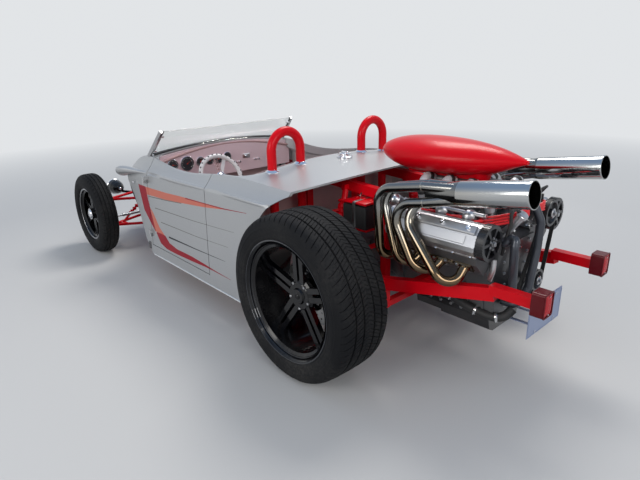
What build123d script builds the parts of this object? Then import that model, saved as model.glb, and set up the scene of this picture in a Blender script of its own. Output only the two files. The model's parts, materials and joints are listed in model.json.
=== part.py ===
from build123d import *
import os
from math import cos, hypot, radians, sin, tan

# Street rod roadster with its V8 hung behind the rear axle. Millimetres. +X is the car's left,
# +Y its rear, +Z up. While it is modelled, y = 0 is the rear axle and z = 0 the ground; at the
# end everything moves by SHIFT_Y, so that the origin lies on the ground under the car's middle.

os.makedirs("parts", exist_ok=True)

# Running gear
WHEELBASE = 2504.0
REAR_TYRE_R = 402.0
REAR_TYRE_W = 290.0
REAR_RIM_R = 292.0
REAR_TRACK_X = 671.0
FRONT_TYRE_R = 319.0
FRONT_TYRE_W = 146.0
FRONT_RIM_R = 207.0
FRONT_TRACK_X = 764.0
FRONT_AXLE_Y = -WHEELBASE
TYRE_SEAT = 0.4
SEAT = 0.3

# Steering
KINGPIN_X = 668.0
STEER_ARM = 112.0
RACK_BAR_R = 12.0
RACK_HOUSING_R = 26.0
RUNNING_FIT = 0.05
FRONT_AXLE_PIN_R = 15.0
FRONT_DISC_R = 140.0
REAR_AXLE_PIN_R = 20.0
REAR_DISC_R = 170.0
STEER_WHEEL_R = 145.0
STEER_WHEEL_CENTRE = (320.0, -1250.0, 722.0)
STEER_COLUMN_TILT = 28.0

# Body
SKIN = 9.0
DOOR_THICK = 46.0
DOOR_GAP = 5.0
DOOR_FRONT_Y = -1650.0
DOOR_SWING_R = 768.0
HINGE_X = 692.0
SILL_TOP_Z = 238.0
BODY_FRONT_Y = -2020.0
HOOD_REAR_Y = -1825.0
COCKPIT_FRONT_Y = -1690.0
COCKPIT_REAR_Y = -548.0
COCKPIT_HALF_W = 588.0
DECK_REAR_Y = -55.0
DECK_CORNER_Y = -178.0
ARCH_R = 456.0
NOSE_TIP_Y = -2860.0

# Heights and size of the two exposed hinges of each door
HINGE_Z = (325.0, 700.0)
HINGE_R = 7.0
HINGE_H = 26.0

# Nose and grille
NOSE_LOW_Z = 330.0
GRILLE_DEPTH = 20.0
GRILLE_BARS = 9
GRILLE_PITCH = 34.0

# Cabin
FLOOR_Z = 185.0
FLOOR_THICK = 6.0
BULKHEAD_Y = -600.0
FIREWALL_Y = -1790.0
PANEL_THICK = 6.0
TUNNEL_HALF_W = 120.0
TUNNEL_TOP_Z = 350.0
SEAT_FRONT_Y = -1180.0
SEAT_REAR_Y = -700.0
SEAT_LOW_Z = 262.0
SEAT_HIGH_Z = 372.0
SEAT_BACK_LEAN = 12.0
DASH_Y = -1657.0
DASH_THICK = 14.0

# Windshield
GLASS_THICK = 6.0
GLASS_BASE_Y = -1728.0
GLASS_TOP_Y = -1572.0
GLASS_TOP_Z = 1014.0
GLASS_LOW_HALF_W = 572.0
GLASS_TOP_HALF_W = 544.0

# Frame
FRONT_RAIL_X = 215.0
FRONT_RAIL_Z = 230.0
MAIN_RAIL_X = 430.0
MAIN_RAIL_Z = 140.0
REAR_RAIL_X = 336.0
RAIL_SIDE = 40.0
RAIL_H = 60.0
CRADLE_Y = -60.0
UPPER_RAIL_X = 200.0
HOOP_BEAM_Z = 560.0

# Front suspension; each post is half the spacing across and a place along the car
UPPER_PIVOT_Z = 408.0
LOWER_PIVOT_Z = 190.0
BALL_JOINT_H = 44.0
BALL_JOINT_R = 20.0
FRONT_POST = (300.0, -2644.0)
REAR_POST = (338.0, -2296.0)
POST_SIDE = 30.0
ARM_TUBE_R = 11.0
RACK_Z = FRONT_RAIL_Z + RAIL_H / 2 + SEAT + RACK_HOUSING_R
STEER_ARM_H = 12.0
PUSHROD_FOOT_X = 560.0
TOWER_TOP_Z = 500.0
TOWER_HALF_L = 17.0

# Rear suspension
UPRIGHT_X = 520.0
SHAFT_R = 17.0

# Roll hoops
HOOP_Y = -510.0
HOOP_X = 346.5
HOOP_HALF_W = 99.5
HOOP_TUBE_R = 25.5
HOOP_BEND_Z = 978.0

# Engine, a 90 degree V8
CRANK_Z = 434.5
BANK_TILT = 45.0
CAM_FROM_CRANK = 404.0
HEAD_FRONT_Y = 195.0
HEAD_REAR_Y = 655.0
BELT_Y = 668.0
CAM_GEAR_R = 77.0
CAM_GEAR_W = 34.0
CAM_GEAR_TEETH = 40
DECK_OUT = 260.0
HEAD_HALF_W = 90.0
HEAD_TOP_OUT = 378.0
COVER_TOP_OUT = 452.0
BLOCK_FRONT_Y = 168.0
BLOCK_REAR_Y = 660.0
PORT_Y = (246.0, 361.0, 477.0, 592.0)
EXHAUST_PORT_OUT = 322.0
INTAKE_PORT_OUT = 335.0
INJECTOR_TOP_OUT = 374.0
PLENUM_LOW_Z = 842.0
PLENUM_TOP_Z = 900.0
PLENUM_HALF_W = 62.0
RUNNER_R = 18.0
# Belt pulleys of the crankshaft, the low pump and the far generator: x, z, radius
BELT_DRIVE = [(0.0, CRANK_Z, 52.0), (-106.0, 449.0, 50.0), (-170.0, 755.0, 57.0)]
BELT_PLANE_Y = 708.0
BELT_W = 20.0
GENERATOR_REAR_Y = 700.0
HOSE_R = 18.0

# Exhaust
TAIL_PIPE_R = 52.25
TAIL_PIPE_WALL = 2.0
TAIL_TIP = (328.0, 867.0, 955.0)
TAIL_DIRECTION = (-0.03, 0.99, 0.145)
TAIL_LENGTH = 290.0
SEAM_LENGTH = 450.0
HEADER_BEND = 80.0
HEADER_TUBE_R = 21.0

# Headlamps: place of the lens rim
LAMP_FACE = (465.0, -2856.0, 432.0)
LAMP_R = 65.0

# Rear lamps and plate
LAMP_X = 281.0
LAMP_Z = 542.0
ARM_SIDE = 43.0
LAMP_FRONT_Y = 893.0
PLATE_W = 304.8
PLATE_H = 152.4
PLATE_Z = 360.0
PLATE_Y = 822.0
PAN_REAR_Y = 640.0
PAN_LOW_Z = 232.0

LAMP_DEPTH = 52.0
# Lower engine rails: half spacing across, place along the car, height
LOWER_RAIL = [(352.0, 205.0, 417.0), (LAMP_X, 730.0, 512.0)]
BATTERY_LOW_Z = 640.0
BATTERY_TOP_Z = 752.0
FUEL_CAP = (-10.0, -416.0)
FUEL_CAP_R = 44.0
BELT_BEAD_HALF_H = 12.0

REAR_END_Y = LAMP_FRONT_Y + LAMP_DEPTH
SHIFT_Y = -(NOSE_TIP_Y + REAR_END_Y) / 2

pieces = {}


def add(node, *shapes):
    """Collect the solids of one node."""
    solids = []
    for shape in shapes:
        solids.extend(shape.solids())
    pieces[node] = solids


def mirrored(shape):
    return mirror(shape, about=Plane.YZ)


def rod(start, end, radius):
    """A round bar between two points."""
    way = Vector(end) - Vector(start)
    return Solid.make_cylinder(radius, way.length, Plane(origin=start, z_dir=way))


def bent_tube(points, radius, bend):
    """A round tube along straight runs joined by arcs, as wide as bend where the runs allow."""
    points = [Vector(point) for point in points]
    runs = [b - a for a, b in zip(points, points[1:])]
    turns = [tan(radians(before.get_angle(after)) / 2) for before, after in zip(runs, runs[1:])]
    shared = [0.0] + turns + [0.0]
    radii = []
    for k, turn in enumerate(turns):
        room_before = 0.94 * runs[k].length / (shared[k] + turn)
        room_after = 0.94 * runs[k + 1].length / (turn + shared[k + 2])
        radii.append(min(bend, room_before, room_after))
    path = FilletPolyline(*points, radius=radii)
    start = Plane(origin=path @ 0, z_dir=path % 0)
    return sweep(start * Circle(radius), path=path)


def square_beam(start, end, side, height):
    """A rectangular box section between two points, its side level."""
    way = Vector(end) - Vector(start)
    level = Vector(0, 0, 1).cross(way)
    if level.length < 1e-6 * way.length:
        level = Vector(1, 0, 0)
    place = Plane(origin=start, x_dir=level, z_dir=way)
    return extrude(place * Rectangle(side, height), way.length)


def turned(outline, about="X"):
    """Revolve a closed outline of (along the axis, radius) points about the X or Y axis."""
    if about == "X":
        points = [(a, r, 0) for a, r in outline]
        return revolve(make_face(Polyline(*points, close=True)), Axis.X, 360)
    points = [(r, a, 0) for a, r in outline]
    return revolve(make_face(Polyline(*points, close=True)), Axis.Y, 360)


def block(x0, x1, y0, y1, z0, z1):
    """A box given by its limits."""
    centre = ((x0 + x1) / 2, (y0 + y1) / 2, (z0 + z1) / 2)
    return Pos(*centre) * Box(x1 - x0, y1 - y0, z1 - z0)


# Body sections: place along the car, half width at the bottom, half width at the belt,
# belt height, shoulder half width, shoulder height, height on the centre line, belt bead's relief
BODY_SECTIONS = [
    (-2060.0, 684.0, 652.0, 672.0, 612.0, 703.0, 800.0, 10.0),
    (-1700.0, 685.0, 659.0, 742.0, 590.0, 842.0, 888.0, 10.0),
    (-1400.0, 685.0, 660.0, 748.0, 602.0, 806.0, 880.0, 10.0),
    (-950.0, 685.0, 661.0, 757.0, 602.0, 822.0, 885.0, 10.0),
    (-600.0, 685.0, 661.0, 763.0, 598.0, 852.0, 899.0, 10.0),
    (-345.0, 684.5, 660.0, 764.0, 595.5, 846.0, 897.0, 10.0),
    (-300.0, 684.5, 660.0, 764.0, 595.0, 844.5, 896.0, 0.8),
    (-40.0, 684.0, 658.0, 762.0, 592.0, 836.0, 890.0, 0.8),
]
BODY_BOTTOM_Z = 165.0


def body_section(row, inset, floor_z):
    """One closed cross-section of the body, drawn in from the skin by inset."""
    y, x_low, x_belt, z_belt, x_top, z_top, z_crown, relief = row
    if inset > 0:
        relief = 0.8
    low = Vector(x_low - inset, y, floor_z)
    belt = Vector(x_belt - inset, y, z_belt - 0.2 * inset)
    top = Vector(x_top - inset, y, z_top - inset)
    bulge = Vector(0.3 * belt.X + 0.7 * top.X + 9, y, 0.52 * belt.Z + 0.48 * top.Z)
    crown = Vector(0, y, z_crown - inset)
    under = belt + (low - belt).normalized() * BELT_BEAD_HALF_H
    over = belt + (bulge - belt).normalized() * BELT_BEAD_HALF_H
    peak = (under + over) / 2 + Vector(relief, 0, 0.3 * relief)
    right = [low, under, peak, over, bulge, top]
    left = [Vector(-p.X, p.Y, p.Z) for p in right]
    edges = [
        Line(right[0], right[1]),
        ThreePointArc(right[1], right[2], right[3]),
        ThreePointArc(right[3], right[4], right[5]),
        ThreePointArc(right[5], crown, left[5]),
        ThreePointArc(left[5], left[4], left[3]),
        ThreePointArc(left[3], left[2], left[1]),
        Line(left[1], left[0]),
        Line(left[0], right[0]),
    ]
    return make_face(edges)


def body_form(inset, floor_z):
    return loft([body_section(row, inset, floor_z) for row in BODY_SECTIONS])


def prism_x(points, half_width):
    """A prism across the car from an outline of (y, z) points."""
    face = make_face(Polyline(*[(half_width, y, z) for y, z in points], close=True))
    return extrude(face, 2 * half_width, dir=(-1, 0, 0))


def front_lean_cut():
    """What lies ahead of the side panels' leading edges, which lean forward as they rise."""
    edge = [(-1592, 100), (-1668, 165), (-1752, 250), (-1826, 420), (-1906, 548), (-2004, 650),
            (-2020, 730), (-2020, 1000)]
    return prism_x(edge + [(-2400, 1000), (-2400, 100)], 800)


def deck_tail_cut():
    """What lies behind the deck's rear edge, which bows rearward between its corners."""
    corner = Vector(600, DECK_CORNER_Y, 60)
    middle = Vector(0, DECK_REAR_Y, 60)
    far = Vector(-600, DECK_CORNER_Y, 60)
    out = [Vector(-800, -150, 60), Vector(-800, 300, 60), Vector(800, 300, 60),
           Vector(800, -150, 60)]
    edges = [ThreePointArc(corner, middle, far), Line(far, out[0]), Line(out[0], out[1]),
             Line(out[1], out[2]), Line(out[2], out[3]), Line(out[3], corner)]
    return extrude(make_face(edges), 1100, dir=(0, 0, 1))


def cockpit_cut(extra=0.0):
    """The cockpit's opening in plan, carried down through the deck and cowl."""
    half = COCKPIT_HALF_W + extra
    centre_y = (COCKPIT_FRONT_Y + COCKPIT_REAR_Y) / 2
    outline = RectangleRounded(2 * half, COCKPIT_REAR_Y - COCKPIT_FRONT_Y + 2 * extra, 130)
    return Pos(0, centre_y, 560) * extrude(outline, 600)


def door_region(side, swing_r, front_y, low_z):
    """The space that a door's outline sweeps through the body side, about its hinge line."""
    hinge = side * HINGE_X
    swing = Pos(hinge, DOOR_FRONT_Y, low_z) * Cylinder(
        swing_r, 900, align=(Align.CENTER, Align.CENTER, Align.MIN))
    x0, x1 = sorted((side * 540, side * 760))
    return swing & block(x0, x1, front_y, 0, low_z, 1100)


def hinge_half(side, z, part):
    """Half of a door hinge: part 1 is the door's upper half, part -1 the body's lower half."""
    low = z + SEAT / 2 if part > 0 else z - HINGE_H
    high = z + HINGE_H if part > 0 else z - SEAT / 2
    x = side * HINGE_X
    barrel = rod((x, DOOR_FRONT_Y, low), (x, DOOR_FRONT_Y, high), HINGE_R)
    x0, x1 = sorted((side * (HINGE_X - 36), x))
    web_x0, web_x1 = sorted((side * (HINGE_X - 3), x))
    leaf = block(x0, x1, DOOR_FRONT_Y + part * 14 - 8, DOOR_FRONT_Y + part * 14 + 8, low, high)
    web = block(web_x0, web_x1, min(DOOR_FRONT_Y, DOOR_FRONT_Y + part * 16),
                max(DOOR_FRONT_Y, DOOR_FRONT_Y + part * 16), low, high)
    return barrel + leaf + web


def hood_lip():
    """Ledge that carries the hood panel's rear edge, one skin below the body's surface."""
    form = body_form(SKIN - 2, BODY_BOTTOM_Z) - body_form(SKIN + 5, BODY_BOTTOM_Z - 60)
    behind = form & block(-560, 560, HOOD_REAR_Y, HOOD_REAR_Y + 25, 640, 1100)
    form = body_form(SKIN + SEAT, BODY_BOTTOM_Z) - body_form(SKIN + 5, BODY_BOTTOM_Z - 60)
    return behind + (form & block(-560, 560, HOOD_REAR_Y - 25, HOOD_REAR_Y, 640, 1100))


def make_body():
    outer = body_form(0, BODY_BOTTOM_Z)
    inner = body_form(SKIN, BODY_BOTTOM_Z - 30)
    door_inner = body_form(DOOR_THICK, BODY_BOTTOM_Z - 30)
    arches = rod((-800, 0, REAR_TYRE_R), (800, 0, REAR_TYRE_R), ARCH_R)
    hood_box = block(-574, 574, BODY_FRONT_Y - 100, HOOD_REAR_Y, 640, 1100)
    trimmed = outer - inner - front_lean_cut() - deck_tail_cut() - arches
    tub = trimmed - cockpit_cut() - hood_box + hood_lip()
    for side in (1, -1):
        tub -= door_region(side, DOOR_SWING_R + DOOR_GAP, DOOR_FRONT_Y - DOOR_GAP,
                           SILL_TOP_Z - DOOR_GAP)
        for x in (HOOP_X - HOOP_HALF_W, HOOP_X + HOOP_HALF_W):
            tub -= rod((side * x, HOOP_Y, 700), (side * x, HOOP_Y, 1000), HOOP_TUBE_R + SEAT)
        for z in HINGE_Z:
            tub += hinge_half(side, z, -1)
    add("body_shell", tub)
    thick = outer - door_inner - cockpit_cut()
    for side, name in ((1, "door_left"), (-1, "door_right")):
        door = thick & door_region(side, DOOR_SWING_R, DOOR_FRONT_Y, SILL_TOP_Z)
        for z in HINGE_Z:
            door += hinge_half(side, z, 1)
        add(name, door)
    hood = trimmed & block(-570, 570, BODY_FRONT_Y - 50, HOOD_REAR_Y - 4, 644, 1100)
    add("hood_panel", hood)
    add("side_liners", side_liner(1), side_liner(-1))


def side_liner(side):
    """Black inner panel that shows ahead of the body side's leaning front edge."""
    outline = [(-1800, 430), (-1830, 420), (-1972, 556), (-2018, 640), (-2018, 690), (-1900, 690)]
    form = body_form(SKIN + SEAT, BODY_BOTTOM_Z - 30) - body_form(SKIN + 8, BODY_BOTTOM_Z - 60)
    x0, x1 = sorted((side * 590, side * 700))
    return form & prism_x(outline, 800) & block(x0, x1, -2100, -1700, 300, 900)


# Nose sections: place, half width, bottom, shoulder height, crown height
NOSE_SECTIONS = [
    (-2024.0, 500.0, 330.0, 700.0, 800.0),
    (-2390.0, 268.0, 330.0, 636.0, 735.0),
    (-2680.0, 214.0, 330.0, 585.0, 660.0),
    (NOSE_TIP_Y, 186.0, 330.0, 552.0, 615.0),
]
def nose_section(row, inset, drop=0.0):
    y, half, low, shoulder, crown = row
    a = Vector(half - inset - 22, y, low - drop)
    b = Vector(half - inset, y, shoulder - inset)
    c = Vector(0, y, crown - inset)
    edges = [Line(a, b), ThreePointArc(b, c, Vector(-b.X, b.Y, b.Z)),
             Line(Vector(-b.X, b.Y, b.Z), Vector(-a.X, a.Y, a.Z)),
             Line(Vector(-a.X, a.Y, a.Z), a)]
    return make_face(edges)


def make_nose():
    outer = loft([nose_section(row, 0) for row in NOSE_SECTIONS])
    inner = loft([nose_section((row[0] + grow, *row[1:]), SKIN, 30)
                  for row, grow in zip(NOSE_SECTIONS, (20, 0, 0, -20))])
    shell = outer - inner
    for side in (1, -1):
        x0, x1 = sorted((side * (FRONT_RAIL_X - 40), side * (FRONT_RAIL_X + 80)))
        shell -= block(x0, x1, FRONT_AXLE_Y - TOWER_HALF_L - 7, FRONT_AXLE_Y + TOWER_HALF_L + 7,
                       NOSE_LOW_Z - 30, TOWER_TOP_Z + 8)
    add("nose_shell", shell)
    y, half, low, shoulder, crown = NOSE_SECTIONS[-1]
    filling = loft([nose_section((row[0] + grow, *row[1:]), SKIN + SEAT)
                    for row, grow in zip(NOSE_SECTIONS, (20, 0, 0, -20))])
    plug = filling & block(-400, 400, y, y + GRILLE_DEPTH, low, 800)
    hole = extrude(nose_section((y + GRILLE_DEPTH + 5, half, low + 26, shoulder, crown), SKIN + 19),
                   GRILLE_DEPTH + 10, dir=(0, -1, 0))
    grille = plug - hole
    bars = GRILLE_BARS
    for k in range(bars):
        x = (k - (bars - 1) / 2) * GRILLE_PITCH
        bar = block(x - 4, x + 4, y + 4, y + GRILLE_DEPTH - 4, low, crown)
        grille += bar & plug
    add("nose_grille", grille)


def make_rear_tyre():
    h = REAR_TYRE_W / 2
    r = REAR_TYRE_R
    rim = REAR_RIM_R + TYRE_SEAT
    return turned([(-h + 8, rim), (-h - 3, rim + 45), (-h, r - 40), (-h + 14, r - 12),
                   (-h + 42, r - 2), (0, r), (h - 42, r - 2), (h - 14, r - 12), (h, r - 40),
                   (h + 3, rim + 45), (h - 8, rim)])


def make_front_tyre():
    h = FRONT_TYRE_W / 2
    r = FRONT_TYRE_R
    rim = FRONT_RIM_R + TYRE_SEAT
    return turned([(-h + 16, rim), (-h + 2, rim + 32), (-h, r - 55), (-h + 12, r - 28),
                   (-h + 38, r - 8), (0, r), (h - 38, r - 8), (h - 12, r - 28), (h, r - 55),
                   (h - 2, rim + 32), (h - 16, rim)])


def spoke_pair(angle, inner_r, outer_r, x_in, x_out, width, gap, depth):
    """Two parallel spokes from the hub to the rim barrel, seen along the axle."""
    bars = []
    for side in (-1, 1):
        bar = square_beam((x_in, side * gap, inner_r), (x_out, side * gap, outer_r), depth, width)
        bars.append(bar)
    return [Rot(angle, 0, 0) * bar for bar in bars]


def make_rear_rim():
    """Deep dished rim of the left wheel, its face set far inboard of the outer lip."""
    h = REAR_TYRE_W / 2 - 10
    r = REAR_RIM_R
    barrel = turned([(-h, r), (h, r), (h + 3, r - 8), (h - 14, r - 22), (h - 26, r - 40),
                     (-h + 26, r - 40), (-h + 14, r - 22), (-h, r - 14)])
    hub = turned([(10, 0), (10, 84), (30, 84), (44, 64), (44, 40), (52, 34), (52, 0)])
    rim = barrel + hub
    for k in range(5):
        for bar in spoke_pair(k * 72, 60, r - 30, 28, 36, 26, 21, 26):
            rim += bar
    bolts = []
    for k in range(5):
        bolts.append(Rot(k * 72 + 36, 0, 0) * rod((5, 0, 65), (60, 0, 65), 7.5))
    for bolt in bolts:
        rim -= bolt
    rim -= rod((-20, 0, 0), (60, 0, 0), REAR_AXLE_PIN_R + RUNNING_FIT)
    disc = turned([(-62, 96), (-62, REAR_DISC_R), (-34, REAR_DISC_R), (-34, 96)])
    bell = turned([(-62, 40), (-62, 100), (-52, 100), (-52, 62), (12, 62), (12, 40)])
    return rim + disc + bell


def make_front_rim():
    """Cast front rim with six narrow spokes."""
    h = 54.0
    r = FRONT_RIM_R
    barrel = turned([(-h, r), (h, r), (h, r - 12), (h - 14, r - 18), (h - 22, r - 28),
                     (-h + 22, r - 28), (-h + 14, r - 18), (-h, r - 12)])
    hub = turned([(-30, 0), (-30, 44), (38, 44), (46, 30), (46, 0)])
    rim = barrel + hub
    for k in range(6):
        for bar in spoke_pair(k * 60, 34, r - 20, 8, 8, 15, 13, 30):
            rim += bar
    disc = turned([(-44, 52), (-44, FRONT_DISC_R), (-38, FRONT_DISC_R), (-38, 52)])
    bell = turned([(-44, 30), (-44, 60), (-28, 60), (-28, 30)])
    bore = rod((-60, 0, 0), (60, 0, 0), FRONT_AXLE_PIN_R + RUNNING_FIT)
    return rim + disc + bell - bore


def make_wheels():
    rear_tyre = make_rear_tyre()
    rear_rim = make_rear_rim()
    front_tyre = make_front_tyre()
    front_rim = make_front_rim()
    for side, tag in ((1, "left"), (-1, "right")):
        at_rear = Pos(side * REAR_TRACK_X, 0, REAR_TYRE_R)
        at_front = Pos(side * FRONT_TRACK_X, FRONT_AXLE_Y, FRONT_TYRE_R)
        for name, shape, place in (("rear_tyre", rear_tyre, at_rear),
                                   ("rear_rim", rear_rim, at_rear),
                                   ("front_tyre", front_tyre, at_front),
                                   ("front_rim", front_rim, at_front)):
            turned_shape = shape if side == 1 else mirrored(shape)
            add(f"{name}_{tag}", place * turned_shape)


def make_knuckle():
    """Left steering knuckle: axle pin, flange, upright post and the steering arm behind it."""
    z = FRONT_TYRE_R
    y = FRONT_AXLE_Y
    x = KINGPIN_X - 6
    hub_in = FRONT_TRACK_X - 44
    pin = rod((x, y, z), (FRONT_TRACK_X + 40, y, z), FRONT_AXLE_PIN_R)
    boss = rod((x - 14, y, z), (hub_in - 3, y, z), 27)
    flange = rod((x + 16, y, z), (x + 26, y, z), 46)
    low = LOWER_PIVOT_Z - 2 + BALL_JOINT_H / 2 + SEAT
    high = UPPER_PIVOT_Z + 2 - BALL_JOINT_H / 2 - SEAT
    post = block(x - 13, x + 13, y - 18, y + 18, low, high)
    top = RACK_Z - RACK_BAR_R - 0.8
    arm = block(x - 8, x + 20, y, y + STEER_ARM + 16, top - STEER_ARM_H, top)
    arm += block(x - 8, x + 44, y - 112, y, z - 12, z + 12)
    return pin + boss + flange + post + arm + front_caliper()


def front_caliper():
    """Caliper that straddles the left front disc on its forward side."""
    disc_x = FRONT_TRACK_X - 41
    y = FRONT_AXLE_Y
    z = FRONT_TYRE_R
    body = block(disc_x - 21, disc_x + 20, y - 163, y - 96, z - 44, z + 44)
    body = fillet(body.edges().filter_by(Axis.X), 12)
    slot = rod((disc_x - 9, y, z), (disc_x + 9, y, z), FRONT_DISC_R + 8)
    return body - slot


def make_wishbone(z, lift):
    """One left wishbone between its ball joint and the two posts on the frame."""
    tip_x = KINGPIN_X - 6
    tip = (tip_x, FRONT_AXLE_Y, z)
    arm = Pos(tip_x, FRONT_AXLE_Y, z + lift) * Cylinder(BALL_JOINT_R, BALL_JOINT_H)
    for post_x, post_y in (FRONT_POST, REAR_POST):
        arm += rod(tip, (post_x, post_y, z), ARM_TUBE_R)
        reach = POST_SIDE / 2 + SEAT
        arm -= block(post_x - 60, post_x + reach, post_y - reach - 20, post_y + reach + 20,
                     z - 40, z + 40)
    if lift < 0:
        arm += block(PUSHROD_FOOT_X - 18, PUSHROD_FOOT_X + 18, FRONT_AXLE_Y - 42, FRONT_AXLE_Y + 60,
                     z - 6, z + 6)
    return arm


def make_front_end():
    knuckle = make_knuckle()
    add("knuckle_left", knuckle)
    add("knuckle_right", mirrored(knuckle))
    arms = [make_wishbone(UPPER_PIVOT_Z, 2), make_wishbone(LOWER_PIVOT_Z, -2)]
    add("wishbones", *arms, *[mirrored(arm) for arm in arms])


def make_steering():
    y = FRONT_AXLE_Y + STEER_ARM
    housing = rod((-236, y, RACK_Z), (236, y, RACK_Z), RACK_HOUSING_R)
    housing -= rod((-250, y, RACK_Z), (250, y, RACK_Z), RACK_BAR_R + RUNNING_FIT)
    add("steering_rack", housing)
    bar = rod((-KINGPIN_X + 70, y, RACK_Z), (KINGPIN_X - 70, y, RACK_Z), RACK_BAR_R)
    for side in (1, -1):
        bar += rod((side * (KINGPIN_X - 80), y, RACK_Z), (side * (KINGPIN_X - 4), y, RACK_Z), 8)
        bar += Pos(side * KINGPIN_X, y, RACK_Z) * Cylinder(15, 2 * RACK_BAR_R)
    add("tie_rods", bar)
    tilt = radians(STEER_COLUMN_TILT)
    toward = Vector(0, cos(tilt), sin(tilt))
    centre = Vector(*STEER_WHEEL_CENTRE)
    place = Plane(origin=centre, z_dir=toward)
    wheel = place * Torus(STEER_WHEEL_R, 12)
    wheel += place * (Pos(0, 0, -23) * Cylinder(30, 34))
    for k in range(3):
        arm = Pos(STEER_WHEEL_R / 2, 0, -8) * Box(STEER_WHEEL_R, 24, 4)
        wheel += place * (Rot(0, 0, 90 + k * 120) * arm)
    add("steering_wheel", wheel)
    top = centre - toward * (40 + SEAT)
    low = centre - toward * 640
    pinion = (150.0, y, RACK_Z + RACK_HOUSING_R - 2)
    add("steering_column", rod(top, low, 19) + rod(low + toward * 5, pinion, 9)
        - rod((-300, y, RACK_Z), (300, y, RACK_Z), RACK_HOUSING_R + SEAT))


def make_hoops():
    hoops = []
    for side in (1, -1):
        x0 = side * (HOOP_X + HOOP_HALF_W)
        x1 = side * (HOOP_X - HOOP_HALF_W)
        foot = HOOP_BEAM_Z + SEAT
        legs = rod((x0, HOOP_Y, foot), (x0, HOOP_Y, HOOP_BEND_Z), HOOP_TUBE_R)
        legs += rod((x1, HOOP_Y, foot), (x1, HOOP_Y, HOOP_BEND_Z), HOOP_TUBE_R)
        bow = Pos(side * HOOP_X, HOOP_Y, HOOP_BEND_Z) * Rot(90, 0, 0) * Torus(HOOP_HALF_W, HOOP_TUBE_R)
        bow &= block(-700, 700, HOOP_Y - 60, HOOP_Y + 60, HOOP_BEND_Z, 1200)
        hoops.append(legs + bow)
    add("roll_hoops", *hoops)


def make_cabin():
    """Floor, tunnel, seat risers, firewall and rear bulkhead as one welded tub."""
    y0 = FIREWALL_Y
    y1 = BULKHEAD_Y
    floor = block(-645, 645, y0, y1, FLOOR_Z, FLOOR_Z + FLOOR_THICK)
    tunnel = block(-TUNNEL_HALF_W, TUNNEL_HALF_W, y0, y1, FLOOR_Z, TUNNEL_TOP_Z)
    hollow = block(-TUNNEL_HALF_W + 8, TUNNEL_HALF_W - 8, y0 - 9, y1 + 9, FLOOR_Z - 10,
                   TUNNEL_TOP_Z - 8)
    inside = body_form(SKIN + 1.5, BODY_BOTTOM_Z)
    half = PANEL_THICK / 2
    bulkhead = inside & block(-700, 700, y1 - half, y1 + half, FLOOR_Z, 1000)
    firewall = inside & block(-574, 574, y0 - half, y0 + half, FLOOR_Z, 1000)
    tub = floor + tunnel - hollow + bulkhead + firewall
    for side in (1, -1):
        x0, x1 = sorted((side * (TUNNEL_HALF_W - 4), side * 560))
        tub += block(x0, x1, SEAT_FRONT_Y + 20, SEAT_REAR_Y - 20, FLOOR_Z, SEAT_LOW_Z)
    centre = Vector(*STEER_WHEEL_CENTRE)
    tilt = radians(STEER_COLUMN_TILT)
    toward = Vector(0, cos(tilt), sin(tilt))
    tub -= rod(centre - toward * 300, centre - toward * 700, 19 + SEAT)
    add("cabin_tub", tub)
    dash = body_form(SKIN + SEAT + 0.4, BODY_BOTTOM_Z) & block(
        -586, 586, DASH_Y - DASH_THICK, DASH_Y, 640, 1000)
    for x, z, r in DASH_GAUGES:
        dash += rod((x, DASH_Y - 2, z), (x, DASH_Y + 9, z), r)
    dash -= rod(centre - toward * 300, centre - toward * 700, 19 + SEAT)
    add("dashboard", dash)
    cushions = []
    for side in (1, -1):
        half = (590 - TUNNEL_HALF_W) / 2 - 8
        cushion = Box(2 * half, SEAT_REAR_Y - SEAT_FRONT_Y, SEAT_HIGH_Z - SEAT_LOW_Z - SEAT)
        cushion = fillet(cushion.edges().filter_by(Axis.X), 34)
        centre_x = side * (TUNNEL_HALF_W + 8 + half)
        cushions.append(Pos(centre_x, (SEAT_FRONT_Y + SEAT_REAR_Y) / 2,
                            (SEAT_LOW_Z + SEAT_HIGH_Z + SEAT) / 2) * cushion)
    add("seat_cushions", *cushions)
    back = Box(1080, 90, 410)
    back = fillet(back.edges().filter_by(Axis.X), 35)
    back = Rot(-SEAT_BACK_LEAN, 0, 0) * back
    box = back.bounding_box()
    back = Pos(0, BULKHEAD_Y - PANEL_THICK / 2 - SEAT - box.max.Y,
               SEAT_HIGH_Z + SEAT - box.min.Z) * back
    add("seat_back", back)


# Round gauges in the dash: place across, height, radius
DASH_GAUGES = [
    (463.0, 768.0, 40.0),
    (352.0, 764.0, 52.0),
    (246.0, 764.0, 34.0),
    (170.0, 764.0, 34.0),
    (94.0, 764.0, 34.0),
    (18.0, 770.0, 34.0),
]


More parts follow.
